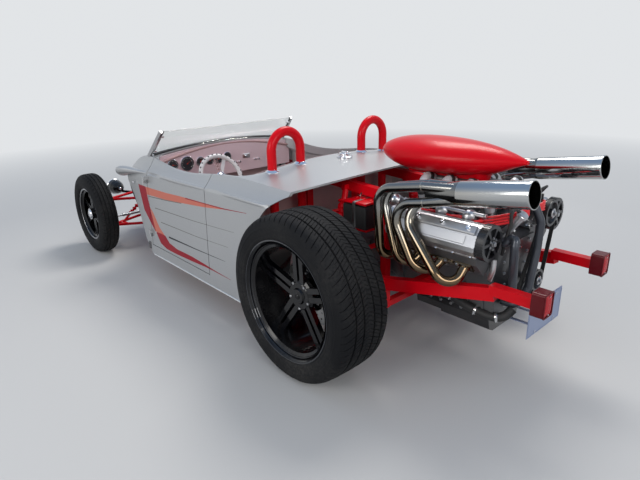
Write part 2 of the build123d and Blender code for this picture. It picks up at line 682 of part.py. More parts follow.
def make_windshield():
    rake = (GLASS_TOP_Y - GLASS_BASE_Y) / (GLASS_TOP_Z - 850.0)
    low_z = 838.0
    lean = Vector(0, rake, 1)
    base_y = GLASS_BASE_Y + rake * (low_z - 850.0)
    plane = Plane(origin=(0, base_y, low_z), x_dir=(1, 0, 0), z_dir=Vector(1, 0, 0).cross(lean))
    height = (GLASS_TOP_Z - low_z) * hypot(rake, 1)
    glass_top = GLASS_TOP_HALF_W
    glass_low = GLASS_LOW_HALF_W
    rise = 54.0
    edges = [ThreePointArc(Vector(-glass_low, 22, 0), Vector(0, rise + 22, 0),
                           Vector(glass_low, 22, 0)),
             Line(Vector(glass_low, 22, 0), Vector(glass_top, height, 0)),
             Line(Vector(glass_top, height, 0), Vector(-glass_top, height, 0)),
             Line(Vector(-glass_top, height, 0), Vector(-glass_low, 22, 0))]
    glass = extrude(plane * make_face(edges), GLASS_THICK / 2, both=True)
    over = body_form(-SEAT, BODY_BOTTOM_Z)
    add("windshield_glass", glass - over)
    posts = []
    for side in (1, -1):
        foot = plane.from_local_coords(Vector(side * (glass_low + 13 + SEAT), 0, 0))
        head = plane.from_local_coords(Vector(side * (glass_top + 10 + SEAT), height + 2, 0))
        posts.append(square_beam(foot, head, 18, 24) - over)
    add("windshield_posts", *posts)


def beam_run(points, side, height):
    """Box sections end to end along a list of points, with a mitre block at each corner."""
    run = square_beam(points[0], points[1], side, height)
    for start, end in zip(points[1:], points[2:]):
        run += square_beam(start, end, side, height)
        run += Pos(*start) * Cylinder(side * 0.62, height)
    return run


def make_frame():
    frame = None
    for side in (1, -1):
        rail = beam_run([(side * FRONT_RAIL_X, NOSE_TIP_Y + 110, FRONT_RAIL_Z),
                         (side * FRONT_RAIL_X, -2240, FRONT_RAIL_Z),
                         (side * MAIN_RAIL_X, -1850, MAIN_RAIL_Z),
                         (side * MAIN_RAIL_X, -560, MAIN_RAIL_Z),
                         (side * REAR_RAIL_X, -260, 252),
                         (side * REAR_RAIL_X, CRADLE_Y, 300)], RAIL_SIDE, RAIL_H)
        for post_x, post_y in (FRONT_POST, REAR_POST):
            x = side * post_x
            half = POST_SIDE / 2
            rail += block(x - half, x + half, post_y - half, post_y + half, 172, 490)
            x0, x1 = sorted((side * (FRONT_RAIL_X - 10), x))
            rail += block(x0, x1, post_y - 14, post_y + 14, FRONT_RAIL_Z - 20, FRONT_RAIL_Z + 20)
        frame = rail if frame is None else frame + rail
    for side in (1, -1):
        x0, x1 = sorted((side * 174, side * 206))
        frame += block(x0, x1, -2712, -2688, FRONT_RAIL_Z, NOSE_LOW_Z - SEAT)
        x0, x1 = sorted((side * (FRONT_RAIL_X - RAIL_SIDE / 2), side * (FRONT_RAIL_X + RAIL_SIDE / 2)))
        frame += block(x0, x1, FRONT_AXLE_Y - TOWER_HALF_L, FRONT_AXLE_Y + TOWER_HALF_L,
                       FRONT_RAIL_Z, TOWER_TOP_Z)
    for y in (NOSE_TIP_Y + 130, -1600, -620):
        half = FRONT_RAIL_X if y < -2000 else MAIN_RAIL_X
        z = FRONT_RAIL_Z if y < -2000 else MAIN_RAIL_Z
        frame += block(-half, half, y - 20, y + 20, z - 25, z + 20)
    for side in (1, -1):
        x = side * MAIN_RAIL_X
        frame += block(x - 18, x + 18, HOOP_Y - 22, HOOP_Y + 22, 150, HOOP_BEAM_Z - 20)
    frame += block(-MAIN_RAIL_X - 40, MAIN_RAIL_X + 40, HOOP_Y - 22, HOOP_Y + 22,
                   HOOP_BEAM_Z - 40, HOOP_BEAM_Z)
    frame -= block(-500, 500, CRADLE_Y, CRADLE_Y + 60, 200, 400)
    add("main_frame", frame)


# Outline across the car that trims the engine mounts to the ribs of the block
MOUNT_CUT = [(0, 400), (156 + SEAT, 400), (156 + SEAT, 420), (196 + SEAT, 472), (0, 472)]


def make_cradle():
    cradle = None
    for side in (1, -1):
        up = side * UPPER_RAIL_X
        upper = square_beam((up, HOOP_Y + 23, 834), (up, 100, 794), 40, 50)
        upper += block(up - 20, up + 20, HOOP_Y - 22, HOOP_Y + 22, HOOP_BEAM_Z + SEAT, 850)
        upper += block(side * 205 - 18, side * 205 + 18, 66, 102, 346, 796)
        x0, x1 = sorted((side * 190, side * 345))
        upper += block(x0, x1, 66, 102, 346, 382)
        if side == 1:
            upper += block(UPPER_RAIL_X - 14, UPPER_RAIL_X + 136, -98, 70, BATTERY_LOW_Z - 6,
                           BATTERY_LOW_Z)
        run = [(side * REAR_RAIL_X, CRADLE_Y + SEAT, 300)]
        run += [(side * x, y, z) for x, y, z in LOWER_RAIL]
        lower = beam_run(run, RAIL_SIDE, 58)
        lower += square_beam((side * LAMP_X, 712, 528), (side * LAMP_X, LAMP_FRONT_Y, 528), ARM_SIDE,
                             ARM_SIDE)
        lower += block(side * 352 - 20, side * 352 + 20, 190, 226, 290, 420)
        x0, x1 = sorted((side * 130, side * 326))
        foot = block(x0, x1, 300, 340, 418, 440)
        lower += foot - along_y([(side * x, z) for x, z in MOUNT_CUT], 290, 350)
        half = upper + lower
        cradle = half if cradle is None else cradle + half
    cradle += block(-352, 352, 190, 222, 290, 320)
    cradle -= block(-500, 500, CRADLE_Y - 60, CRADLE_Y + SEAT, 200, 400)
    add("engine_cradle", cradle)


def make_lamps():
    lamps = []
    for side in (1, -1):
        lamp = block(side * LAMP_X - 36, side * LAMP_X + 36, LAMP_FRONT_Y + SEAT,
                     REAR_END_Y, LAMP_Z - 58, LAMP_Z + 42)
        lamp = fillet(lamp.edges().filter_by(Axis.Y), 10)
        lamps.append(lamp)
    add("tail_lamps", *lamps)
    plate = block(-PLATE_W / 2, PLATE_W / 2, PLATE_Y, PLATE_Y + 3, PLATE_Z - PLATE_H / 2,
                  PLATE_Z + PLATE_H / 2)
    for sx in (-1, 1):
        for sz in (-1, 1):
            plate -= rod((sx * 88.9, PLATE_Y - 10, PLATE_Z + sz * 60.3),
                         (sx * 88.9, PLATE_Y + 10, PLATE_Z + sz * 60.3), 3.5)
    for x in (-60, 60):
        plate += block(x - 8, x + 8, PAN_REAR_Y + SEAT, PLATE_Y + 1, 306, 310)
    add("number_plate", plate)


def make_fittings():
    """Battery on its tray beside the engine, and the fuel filler in the deck."""
    low = BATTERY_LOW_Z + SEAT
    case = block(UPPER_RAIL_X - 10, UPPER_RAIL_X + 130, -94, 60, low, BATTERY_TOP_Z)
    case = fillet(case.edges().filter_by(Axis.Z), 6)
    for x in (UPPER_RAIL_X + 20, UPPER_RAIL_X + 100):
        case += rod((x, 30, BATTERY_TOP_Z), (x, 30, BATTERY_TOP_Z + 14), 9)
    add("battery", case)
    x, y = FUEL_CAP
    outline = [(870, 0), (870, FUEL_CAP_R), (906, FUEL_CAP_R), (908, FUEL_CAP_R - 3),
               (908, FUEL_CAP_R - 12), (920, FUEL_CAP_R - 14), (922, FUEL_CAP_R - 17), (922, 0)]
    points = [(r, 0, z) for z, r in outline]
    cap = Pos(x, y, 0) * revolve(make_face(Polyline(*points, close=True)), Axis.Z, 360)
    add("fuel_cap", cap - body_form(-SEAT, BODY_BOTTOM_Z))


def make_headlamps():
    x, y, z = LAMP_FACE
    outline = [(0, 0), (0, LAMP_R), (14, LAMP_R), (60, 60), (100, 48), (130, 30), (146, 0)]
    bucket = turned([(a, r) for a, r in outline], "Y")
    lamps = []
    for side in (1, -1):
        stalk = rod((side * x, y + 70, z - 30), (side * FRONT_POST[0], FRONT_POST[1], z - 60), 11)
        reach = POST_SIDE / 2 + SEAT
        post_x = side * FRONT_POST[0]
        x0, x1 = sorted((post_x + side * reach, post_x - side * 80))
        stalk -= block(x0, x1, FRONT_POST[1] - 60, FRONT_POST[1] + 60, 200, 500)
        lamps.append(Pos(side * x, y, z) * bucket + stalk)
    add("headlamps", *lamps)


def spring_unit(low, high, damper_r, spring_r, turns):
    """Damper between two points with a coil spring round its upper part."""
    way = (Vector(high) - Vector(low)).normalized()
    length = (Vector(high) - Vector(low)).length
    start = 0.24 * length
    end = 0.86 * length
    pitch = (end - start) / turns
    outline = [(0, 0), (damper_r, 0), (damper_r, start - 8), (spring_r + 3, start - 8),
               (spring_r + 3, start)]
    for k in range(turns):
        at = start + k * pitch
        outline += [(spring_r - 8, at + 0.1 * pitch), (spring_r, at + 0.35 * pitch),
                    (spring_r, at + 0.65 * pitch), (spring_r - 8, at + 0.9 * pitch)]
    outline += [(spring_r + 3, end), (spring_r + 3, end + 8), (damper_r + 6, end + 8),
                (damper_r + 6, length - 20), (damper_r, length - 20), (damper_r, length), (0, length)]
    face = make_face(Polyline(*[(r, 0, a) for r, a in outline], close=True))
    return Plane(origin=low, z_dir=way) * revolve(face, Axis.Z, 360)


def make_springs():
    units = []
    for side in (1, -1):
        low = (side * (UPRIGHT_X - 40), -44, 296)
        high = (side * (UPPER_RAIL_X + RAIL_SIDE / 2 + 10), -170, 806)
        unit = spring_unit(low, high, 10, 27, 7)
        x0, x1 = sorted((side * (UPRIGHT_X - 60), side * (UPRIGHT_X - 15 - SEAT)))
        unit += block(x0, x1, -50, -38, 288, 308)
        x0, x1 = sorted((side * (UPPER_RAIL_X + RAIL_SIDE / 2 + SEAT), side * (UPPER_RAIL_X + 52)))
        unit += block(x0, x1, -182, -158, 792, 820)
        x0, x1 = sorted((side * (UPPER_RAIL_X + RAIL_SIDE / 2 + SEAT), 0))
        unit -= block(x0, x1, -300, 300, 600, 900)
        units.append(unit)
    for side in (1, -1):
        low = (side * PUSHROD_FOOT_X, FRONT_AXLE_Y, LOWER_PIVOT_Z + 4)
        high = (side * (FRONT_RAIL_X + RAIL_SIDE / 2 + 6), FRONT_AXLE_Y, 474)
        unit = spring_unit(low, high, 9, 17, 9)
        x0, x1 = sorted((side * (FRONT_RAIL_X + RAIL_SIDE / 2 + SEAT), 0))
        unit -= block(x0, x1, FRONT_AXLE_Y - 40, FRONT_AXLE_Y + 40, 400, 600)
        unit -= block(-700, 700, FRONT_AXLE_Y - 40, FRONT_AXLE_Y + 40, 100, LOWER_PIVOT_Z + 6 + SEAT)
        units.append(unit)
    add("spring_units", *units)


def rear_caliper(side):
    """Caliper on the rear disc, carried by a bracket from the upright."""
    disc_x = REAR_TRACK_X - 48
    z = REAR_TYRE_R
    body = block(disc_x - 35, disc_x + 35, 112, 196, z - 62, z + 62)
    body = fillet(body.edges().filter_by(Axis.X), 16)
    body -= rod((disc_x - 20, 0, z), (disc_x + 20, 0, z), REAR_DISC_R + 8)
    body += block(UPRIGHT_X + 15 + SEAT, disc_x - 22, 39, 140, z - 16, z + 16)
    return body if side == 1 else mirrored(body)


def make_rear_end():
    uprights = []
    shafts = []
    links = []
    for side in (1, -1):
        face = side * (REAR_TRACK_X - 62 - 3)
        place = side * UPRIGHT_X
        upright = block(place - 15, place + 15, -50, 50, 262, 552)
        upright += rod((place - side * 40, 0, REAR_TYRE_R), (face, 0, REAR_TYRE_R), 38)
        upright += rod((place, 0, REAR_TYRE_R), (side * (REAR_TRACK_X + 52), 0, REAR_TYRE_R),
                       REAR_AXLE_PIN_R)
        uprights.append(upright)
        shafts.append(rod((side * (150 + SEAT), 0, REAR_TYRE_R),
                          (side * (UPRIGHT_X - 40 - SEAT), 0, REAR_TYRE_R), SHAFT_R))
        inner = UPRIGHT_X - 15 - SEAT
        for start, end, rail_drift in (((inner + 9, -34, 276), (REAR_RAIL_X, -190, 268), 0),
                                       ((inner + 9, 34, 276), (REAR_RAIL_X, 60, 330), 8),
                                       ((inner + 9, 30, 530), (210, 84, 560), 0)):
            link = rod((side * start[0], start[1], start[2]), (side * end[0], end[1], end[2]), 12)
            x0, x1 = sorted((side * inner, side * 700))
            link -= block(x0, x1, -100, 100, 200, 600)
            if end[0] == REAR_RAIL_X:
                x0, x1 = sorted((side * (REAR_RAIL_X + RAIL_SIDE / 2 + rail_drift + SEAT), 0))
                link -= block(x0, x1, -300, 300, 200, 600)
            else:
                x0, x1 = sorted((side * (223 + SEAT), 0))
                link -= block(x0, x1, -300, 300, 200, 700)
            links.append(link)
    add("rear_uprights", *uprights)
    add("rear_calipers", rear_caliper(1), rear_caliper(-1))
    add("half_shafts", *shafts)
    add("rear_links", *links)


def bank_point(across, y, out):
    """A point of the left bank, across its cylinders and out along them from the crankshaft."""
    lean_s = sin(radians(BANK_TILT))
    lean_c = cos(radians(BANK_TILT))
    return Vector(lean_c * across + lean_s * out, y, CRANK_Z - lean_s * across + lean_c * out)


def bank_prism(outline, y0, y1):
    """A prism along the left bank from an outline of (across, out) points."""
    lean = radians(BANK_TILT)
    place = Plane(origin=(0, y1, CRANK_Z), x_dir=(cos(lean), 0, -sin(lean)), z_dir=(0, -1, 0))
    face = place * make_face(Polyline(*outline, close=True))
    return extrude(face, y1 - y0, dir=(0, -1, 0))


def along_y(outline, y0, y1):
    """A prism along the car from an outline of (x, z) points, with its mirror image joined."""
    points = [(x, y0, z) for x, z in outline]
    points += [(-x, y0, z) for x, z in reversed(outline) if x > 0]
    return extrude(make_face(Polyline(*points, close=True)), y1 - y0, dir=(0, 1, 0))


def make_block():
    outer_deck = bank_point(75, 0, DECK_OUT)
    inner_deck = bank_point(-75, 0, DECK_OUT)
    outline = [(0, 330), (138, 330), (150, 342), (150, 424), (184, 470),
               (outer_deck.X, outer_deck.Z), (inner_deck.X, inner_deck.Z), (64, 604), (0, 596)]
    block_solid = along_y(outline, BLOCK_FRONT_Y + SEAT, BLOCK_REAR_Y)
    for k in range(6):
        y = 230 + 75 * k
        rib = along_y([(0, 330), (156, 330), (156, 420), (196, 472), (0, 472)], y, y + 10)
        block_solid += rib
    for k, y in enumerate(PORT_Y):
        plug = rod(bank_point(70, y, 190), bank_point(81, y, 190), 20)
        block_solid += plug + mirrored(plug)
    return block_solid


def make_cam_gear(x, z):
    """Toothed belt wheel with six windows, on its shaft from the cylinder head."""
    face = Circle(CAM_GEAR_R)
    for place in PolarLocations(CAM_GEAR_R, CAM_GEAR_TEETH):
        face -= place * Rectangle(5, 5)
    ring = Circle(CAM_GEAR_R - 16) - Circle(24)
    for place in PolarLocations(0, 6):
        ring -= place * (Pos(CAM_GEAR_R / 2, 0) * Rectangle(CAM_GEAR_R, 13))
    face -= ring
    wheel = extrude(Plane.XZ * face, CAM_GEAR_W / 2, both=True)
    wheel = Pos(x, BELT_Y + CAM_GEAR_W / 2, z) * wheel
    return wheel + rod((x, HEAD_REAR_Y + SEAT, z), (x, BELT_Y + 4, z), 20)


def grooved_pulley(x, z, radius, back_y):
    """Belt wheel with a raised rim and a dished face, on a shaft that starts at back_y."""
    y0 = BELT_PLANE_Y
    y1 = y0 + BELT_W + 4
    outline = [(back_y, 0), (back_y, 16), (y0, 16), (y0, radius + 3), (y0 + 2, radius + 3),
               (y0 + 2, radius), (y1 - 2, radius), (y1 - 2, radius + 3), (y1, radius + 3),
               (y1, radius - 8), (y1 - 14, radius - 14), (y1 - 14, 20), (y1 + 4, 16), (y1 + 4, 0)]
    return Pos(x, 0, z) * turned(outline, "Y")


def belt_loop(drive, grow, thick):
    """Flat belt pulled tight round circles of (x, z, radius) in its plane."""
    outer = make_hull([edge for x, z, r in drive for edge in (Pos(x, -z) * Circle(r + grow + thick)).edges()])
    inner = make_hull([edge for x, z, r in drive for edge in (Pos(x, -z) * Circle(r + grow)).edges()])
    band = extrude(outer - inner, BELT_W - 2)
    return Pos(0, BELT_PLANE_Y + 3, 0) * (Rot(-90, 0, 0) * band)


def make_timing_cover():
    """Black plate over the block's rear end, behind the belts."""
    circles = [(0, CRANK_Z, 96.0)]
    for side in (1, -1):
        circles.append((side * 150, CRANK_Z + 160, 60.0))
    plate = make_hull([edge for x, z, r in circles for edge in (Pos(x, -z) * Circle(r)).edges()])
    solid = Pos(0, BLOCK_REAR_Y + SEAT, 0) * (Rot(-90, 0, 0) * extrude(plate, 6))
    for x, z, r in BELT_DRIVE[:2]:
        solid -= rod((x, BLOCK_REAR_Y - 5, z), (x, BLOCK_REAR_Y + 20, z), 16 + SEAT)
    return solid


def make_engine():
    box = block(-118, 118, -330, 40, 300, 520)
    box = fillet(box.edges().filter_by(Axis.Y), 30)
    bell = turned([(20, 0), (20, 118), (60, 132), (150, 168), (BLOCK_FRONT_Y, 170),
                   (BLOCK_FRONT_Y, 0)], "Y")
    transaxle = box + Pos(0, 0, CRANK_Z) * bell
    transaxle += rod((-150, 0, REAR_TYRE_R), (150, 0, REAR_TYRE_R), 62)
    for k in range(4):
        transaxle += block(-126, 126, -300 + 66 * k, -292 + 66 * k, 312, 508)
    for side in (1, -1):
        x0, x1 = sorted((side * 100, side * (REAR_RAIL_X - RAIL_SIDE / 2 - SEAT)))
        transaxle += block(x0, x1, -150, -126, 292, 312)
    add("transaxle", transaxle)
    add("engine_block", make_block())
    head = bank_prism([(-HEAD_HALF_W, DECK_OUT + SEAT), (-HEAD_HALF_W, 352), (-74, HEAD_TOP_OUT),
                       (74, HEAD_TOP_OUT), (HEAD_HALF_W, 346), (HEAD_HALF_W, DECK_OUT + SEAT)],
                      HEAD_FRONT_Y, HEAD_REAR_Y)
    add("cylinder_heads", head, mirrored(head))
    low = HEAD_TOP_OUT + SEAT
    top = COVER_TOP_OUT
    cover = bank_prism([(-66, low), (-66, top - 24), (-46, top - 3), (-30, top + 4), (3, top - 3),
                        (53, top - 19), (67, top - 32), (74, top - 52), (70, low)],
                       HEAD_FRONT_Y, HEAD_REAR_Y)
    cover += bank_prism([(-73, low), (-73, low + 8), (73, low + 8), (73, low)],
                        HEAD_FRONT_Y, HEAD_REAR_Y)
    add("cam_covers", cover, mirrored(cover))
    pan = along_y([(0, PAN_LOW_Z), (96, PAN_LOW_Z), (126, PAN_LOW_Z + 16), (140, 300),
                   (140, 330 - SEAT), (0, 330 - SEAT)], 240, PAN_REAR_Y)
    pan -= block(-200, 200, 239, 380, 190, 262)
    for k in range(7):
        x = (k - 3) * 26
        pan += block(x - 2, x + 2, 400, PAN_REAR_Y - 14, PAN_LOW_Z - 7, PAN_LOW_Z + 7)
    add("oil_pan", pan)
    cam_x = CAM_FROM_CRANK * sin(radians(BANK_TILT))
    cam_z = CRANK_Z + CAM_FROM_CRANK * cos(radians(BANK_TILT))
    crank, pump, generator = BELT_DRIVE
    wheels = [make_cam_gear(cam_x, cam_z), make_cam_gear(-cam_x, cam_z)]
    wheels.append(grooved_pulley(*crank, BLOCK_REAR_Y + SEAT))
    wheels.append(grooved_pulley(*pump, BLOCK_REAR_Y + SEAT))
    wheels.append(grooved_pulley(*generator, GENERATOR_REAR_Y + SEAT))
    add("belt_pulleys", *wheels)
    add("drive_belt", belt_loop(BELT_DRIVE, SEAT, 4))
    add("timing_cover", make_timing_cover())
    x, z, radius = generator
    outline = [(HEAD_REAR_Y + SEAT, 0), (HEAD_REAR_Y + SEAT, 38), (GENERATOR_REAR_Y - 8, 40),
               (GENERATOR_REAR_Y, 32), (GENERATOR_REAR_Y, 0)]
    add("generator", Pos(x, 0, z) * turned(outline, "Y"))
    make_intake()
    make_hoses()


def make_intake():
    """Plenum on the centre line with four curved runners to each bank."""
    plenum = block(-PLENUM_HALF_W, PLENUM_HALF_W, 205, 625, PLENUM_LOW_Z, PLENUM_TOP_Z)
    plenum = fillet(plenum.edges().filter_by(Axis.Y), 18)
    side_parts = None
    for y in PORT_Y:
        foot = bank_point(-HEAD_HALF_W - SEAT, y, INTAKE_PORT_OUT)
        elbow = bank_point(-HEAD_HALF_W - 26, y, INTAKE_PORT_OUT)
        bend = Vector(122, y, 770)
        rise = Vector(86, y, 848)
        middle = Vector(PLENUM_HALF_W - 10, y, (PLENUM_LOW_Z + PLENUM_TOP_Z) / 2)
        tube = bent_tube([foot, elbow, bend, rise, middle], RUNNER_R, 48)
        flange = rod(foot, bank_point(-HEAD_HALF_W - 12, y, INTAKE_PORT_OUT), 26)
        boss = rod(bank_point(-106, y, INTAKE_PORT_OUT - 4), bank_point(-106, y, INJECTOR_TOP_OUT), 14)
        part = tube + flange + boss
        side_parts = part if side_parts is None else side_parts + part
    rail_out = INJECTOR_TOP_OUT - 16
    web = rod(bank_point(-103, PORT_Y[0], rail_out), bank_point(-103, PORT_Y[-1], rail_out), 8)
    side_parts += web
    add("intake_manifold", plenum + side_parts + mirrored(side_parts))


def make_hoses():
    """Two coolant hoses down the engine's rear end, from the heads' level to the block."""
    face_y = BLOCK_REAR_Y + 6 + 2 * SEAT
    upper = bank_point(-58, 0, 312)
    hoses = [
        bent_tube([(upper.X, HEAD_REAR_Y + SEAT, upper.Z), (upper.X, 706, upper.Z),
                   (160, 741, 772), (190, 748, 690), (172, 748, 500), (120, 738, 440),
                   (120, face_y, 440)], HOSE_R, 34),
        bent_tube([(0, 625 + SEAT, 872), (0, 700, 872), (-14, 752, 756), (0, 756, 640),
                   (44, 758, 466), (90, 736, 392), (90, face_y, 392)], HOSE_R, 34),
    ]
    add("coolant_hoses", *hoses)


SCOOP_NECK_Y = 285.0


def make_scoop():
    """Teardrop air scoop over the engine on its neck."""
    faces = []
    for y, half, z, high in SCOOP_SECTIONS:
        plane = Plane(origin=(0, y, z), x_dir=(1, 0, 0), z_dir=(0, 1, 0))
        faces.append(plane * Ellipse(half, high))
    neck_low = Plane(origin=(0, SCOOP_NECK_Y, PLENUM_TOP_Z + SEAT)) * RectangleRounded(92, 430, 40)
    neck_high = Plane(origin=(0, SCOOP_NECK_Y, 985)) * RectangleRounded(190, 480, 60)
    add("scoop", loft(faces) + loft([neck_low, neck_high]))


# Scoop sections: place along the car, half width, centre height, half height
SCOOP_SECTIONS = [(-52.0, 78.0, 998.0, 34.0), (10.0, 124.0, 993.0, 62.0), (120.0, 152.0, 989.0, 82.0),
                  (290.0, 158.0, 990.0, 84.0), (470.0, 112.0, 990.0, 70.0), (600.0, 56.0, 996.0, 36.0),
                  (676.0, 12.0, 997.0, 8.0)]


def make_exhaust():
    """Four header tubes of each bank, their flange and collector, and the open tail pipe."""
    way = Vector(*TAIL_DIRECTION).normalized()
    tip = Vector(*TAIL_TIP)
    start = tip - way * TAIL_LENGTH
    seam = tip - way * SEAM_LENGTH
    pipe = rod(start, tip, TAIL_PIPE_R) - rod(start + way * 3, tip + way, TAIL_PIPE_R - TAIL_PIPE_WALL)
    add("tail_pipes", pipe, mirrored(pipe))
    level = Vector(0, 0, 1).cross(way).normalized() * -1
    up = level.cross(way)
    bank = header_flange()
    mouth = start - way * SEAT
    for y, (points, across, high) in zip(PORT_Y, HEADER_ROUTES):
        port = bank_point(HEAD_HALF_W + SEAT + 7, y, EXHAUST_PORT_OUT)
        join = seam + level * across * 30 + up * high * 34
        last = mouth + level * across * 19 + up * high * 22 - way * 4
        route = [port] + [Vector(*p) for p in points] + [join, last]
        bank += bent_tube(route, HEADER_TUBE_R, HEADER_BEND)
    round_end = Plane(origin=mouth, x_dir=level, z_dir=way)
    square_end = Plane(origin=seam + way * 4, x_dir=level, z_dir=way)
    bank += loft([square_end * RectangleRounded(58, 66, 20), round_end * Circle(TAIL_PIPE_R)])
    add("headers", bank, mirrored(bank))


def header_flange():
    """Plate that bolts the header tubes to the cylinder head."""
    near = HEAD_HALF_W + SEAT
    plate = bank_prism([(near, EXHAUST_PORT_OUT - 24), (near + 9, EXHAUST_PORT_OUT - 24),
                        (near + 9, EXHAUST_PORT_OUT + 22), (near, EXHAUST_PORT_OUT + 22)],
                       PORT_Y[0] - 36, PORT_Y[-1] + 36)
    for before, after in zip(PORT_Y, PORT_Y[1:]):
        middle = (before + after) / 2
        for out in (EXHAUST_PORT_OUT - 30, EXHAUST_PORT_OUT + 28):
            plate -= rod(bank_point(near - 5, middle, out), bank_point(near + 20, middle, out), 20)
    return plate


# Header tubes of the left bank, from their ports, and each one's corner of the collector
HEADER_ROUTES = [
    ([(400, 222, 482), (392, 188, 884)], 1, 1),
    ([(404, 350, 482), (346, 178, 878)], -1, 1),
    ([(402, 456, 480), (388, 250, 822)], 1, -1),
    ([(376, 588, 506), (402, 520, 574), (352, 283, 798)], -1, -1),
]


def make_all():
    make_body()
    make_nose()
    make_wheels()
    make_front_end()
    make_steering()
    make_hoops()
    make_cabin()
    make_windshield()
    make_frame()
    make_cradle()
    make_springs()
    make_fittings()
    make_lamps()
    make_headlamps()
    make_rear_end()
    make_engine()
    make_scoop()
    make_exhaust()


make_all()
for node, solids in pieces.items():
    moved = [Pos(0, SHIFT_Y, 0) * solid for solid in solids]
    whole = moved[0] if len(moved) == 1 else Compound(children=moved)
    export_step(whole, f"parts/{node}.step")
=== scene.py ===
import json
from math import cos, radians, sin, tau

import bmesh
import bpy
from mathutils import Matrix, Vector
from mathutils.bvhtree import BVHTree


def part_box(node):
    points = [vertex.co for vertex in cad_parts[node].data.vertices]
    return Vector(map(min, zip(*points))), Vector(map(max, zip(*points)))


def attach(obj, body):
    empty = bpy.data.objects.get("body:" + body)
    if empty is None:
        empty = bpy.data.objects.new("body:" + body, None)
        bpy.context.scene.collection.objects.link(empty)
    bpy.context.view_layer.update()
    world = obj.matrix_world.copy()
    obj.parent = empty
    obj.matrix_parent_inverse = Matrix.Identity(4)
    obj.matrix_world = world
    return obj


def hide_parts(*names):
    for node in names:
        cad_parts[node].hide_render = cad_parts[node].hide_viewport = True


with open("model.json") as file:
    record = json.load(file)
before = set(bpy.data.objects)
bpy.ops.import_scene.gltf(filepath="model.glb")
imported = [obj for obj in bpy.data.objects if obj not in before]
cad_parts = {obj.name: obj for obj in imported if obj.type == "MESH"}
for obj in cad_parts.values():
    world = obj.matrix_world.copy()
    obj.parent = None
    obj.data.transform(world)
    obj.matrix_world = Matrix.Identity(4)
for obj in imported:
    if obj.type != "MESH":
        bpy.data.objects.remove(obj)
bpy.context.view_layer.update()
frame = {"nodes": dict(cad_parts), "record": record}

# Street rod roadster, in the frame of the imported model: +X is the car's left, +Y its rear, +Z up,
# the ground at z = 0. Tables, turned profiles and what mm(), at() and bank() take are in
# millimetres. Everything else is in metres.

# Camera, solved from the tyres, hoops, pipes and plate
PHOTO_W = 640
PHOTO_FOCAL_PX = 499.9
SENSOR_W_MM = 36.0
CAMERA_PLACE = (2.0334, 2.5882, 1.4079)
CAMERA_RIGHT = Vector((-0.73887, 0.67337, -0.02557))
CAMERA_DOWN = Vector((0.24078, 0.22838, -0.94333))
CAMERA_FORWARD = Vector((-0.62937, -0.70315, -0.33087))


def centre(node):
    low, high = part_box(node)
    return (low + high) / 2


AXLE_Y = centre("rear_tyre_left").y
SIDES = (1, -1)
SIDE_TAGS = (("left", 1), ("right", -1))
UP, REAR = Vector((0, 0, 1)), Vector((0, 1, 0))


# Node helpers

def add_node(tree, kind, sockets=None, **settings):
    """A node with its settings; each socket takes a value or another node's output."""
    node = tree.nodes.new(kind)
    for key, value in settings.items():
        setattr(node, key, value)
    for key, value in (sockets or {}).items():
        if isinstance(value, bpy.types.NodeSocket):
            tree.links.new(value, node.inputs[key])
        else:
            node.inputs[key].default_value = value
    return node


def new_group(name, kind, inputs, outputs):
    """A node group with named sockets; returns it with its input and its output sockets."""
    tree = bpy.data.node_groups.new(name, kind)
    for way, sockets in (("INPUT", inputs), ("OUTPUT", outputs)):
        for label, socket_kind, *value in sockets:
            socket = tree.interface.new_socket(label, in_out=way,
                                               socket_type="NodeSocket" + socket_kind)
            if value:
                socket.default_value = value[0]
    start, end = tree.nodes.new("NodeGroupInput"), tree.nodes.new("NodeGroupOutput")
    return tree, start.outputs, end.inputs


def calc(tree, operation, first, second=0.0, clamp=False):
    return add_node(tree, "ShaderNodeMath", {0: first, 1: second}, operation=operation,
                    use_clamp=clamp).outputs[0]


def mix_colour(tree, share, first, second, blend="MIX"):
    return add_node(tree, "ShaderNodeMix", {0: share, 6: first, 7: second}, data_type="RGBA",
                    blend_type=blend).outputs[2]


def ramp(tree, value, low, high, out_low=0.0, out_high=1.0):
    return add_node(tree, "ShaderNodeMapRange",
                    {0: value, 1: low, 2: high, 3: out_low, 4: out_high}).outputs[0]


def noise_of(tree, place, scale, detail):
    return add_node(tree, "ShaderNodeTexNoise",
                    {"Vector": place, "Scale": scale, "Detail": detail}).outputs[0]


def object_place(tree):
    return tree.nodes.new("ShaderNodeTexCoord").outputs["Object"]


def split(tree, vector):
    return add_node(tree, "ShaderNodeSeparateXYZ", {0: vector}).outputs


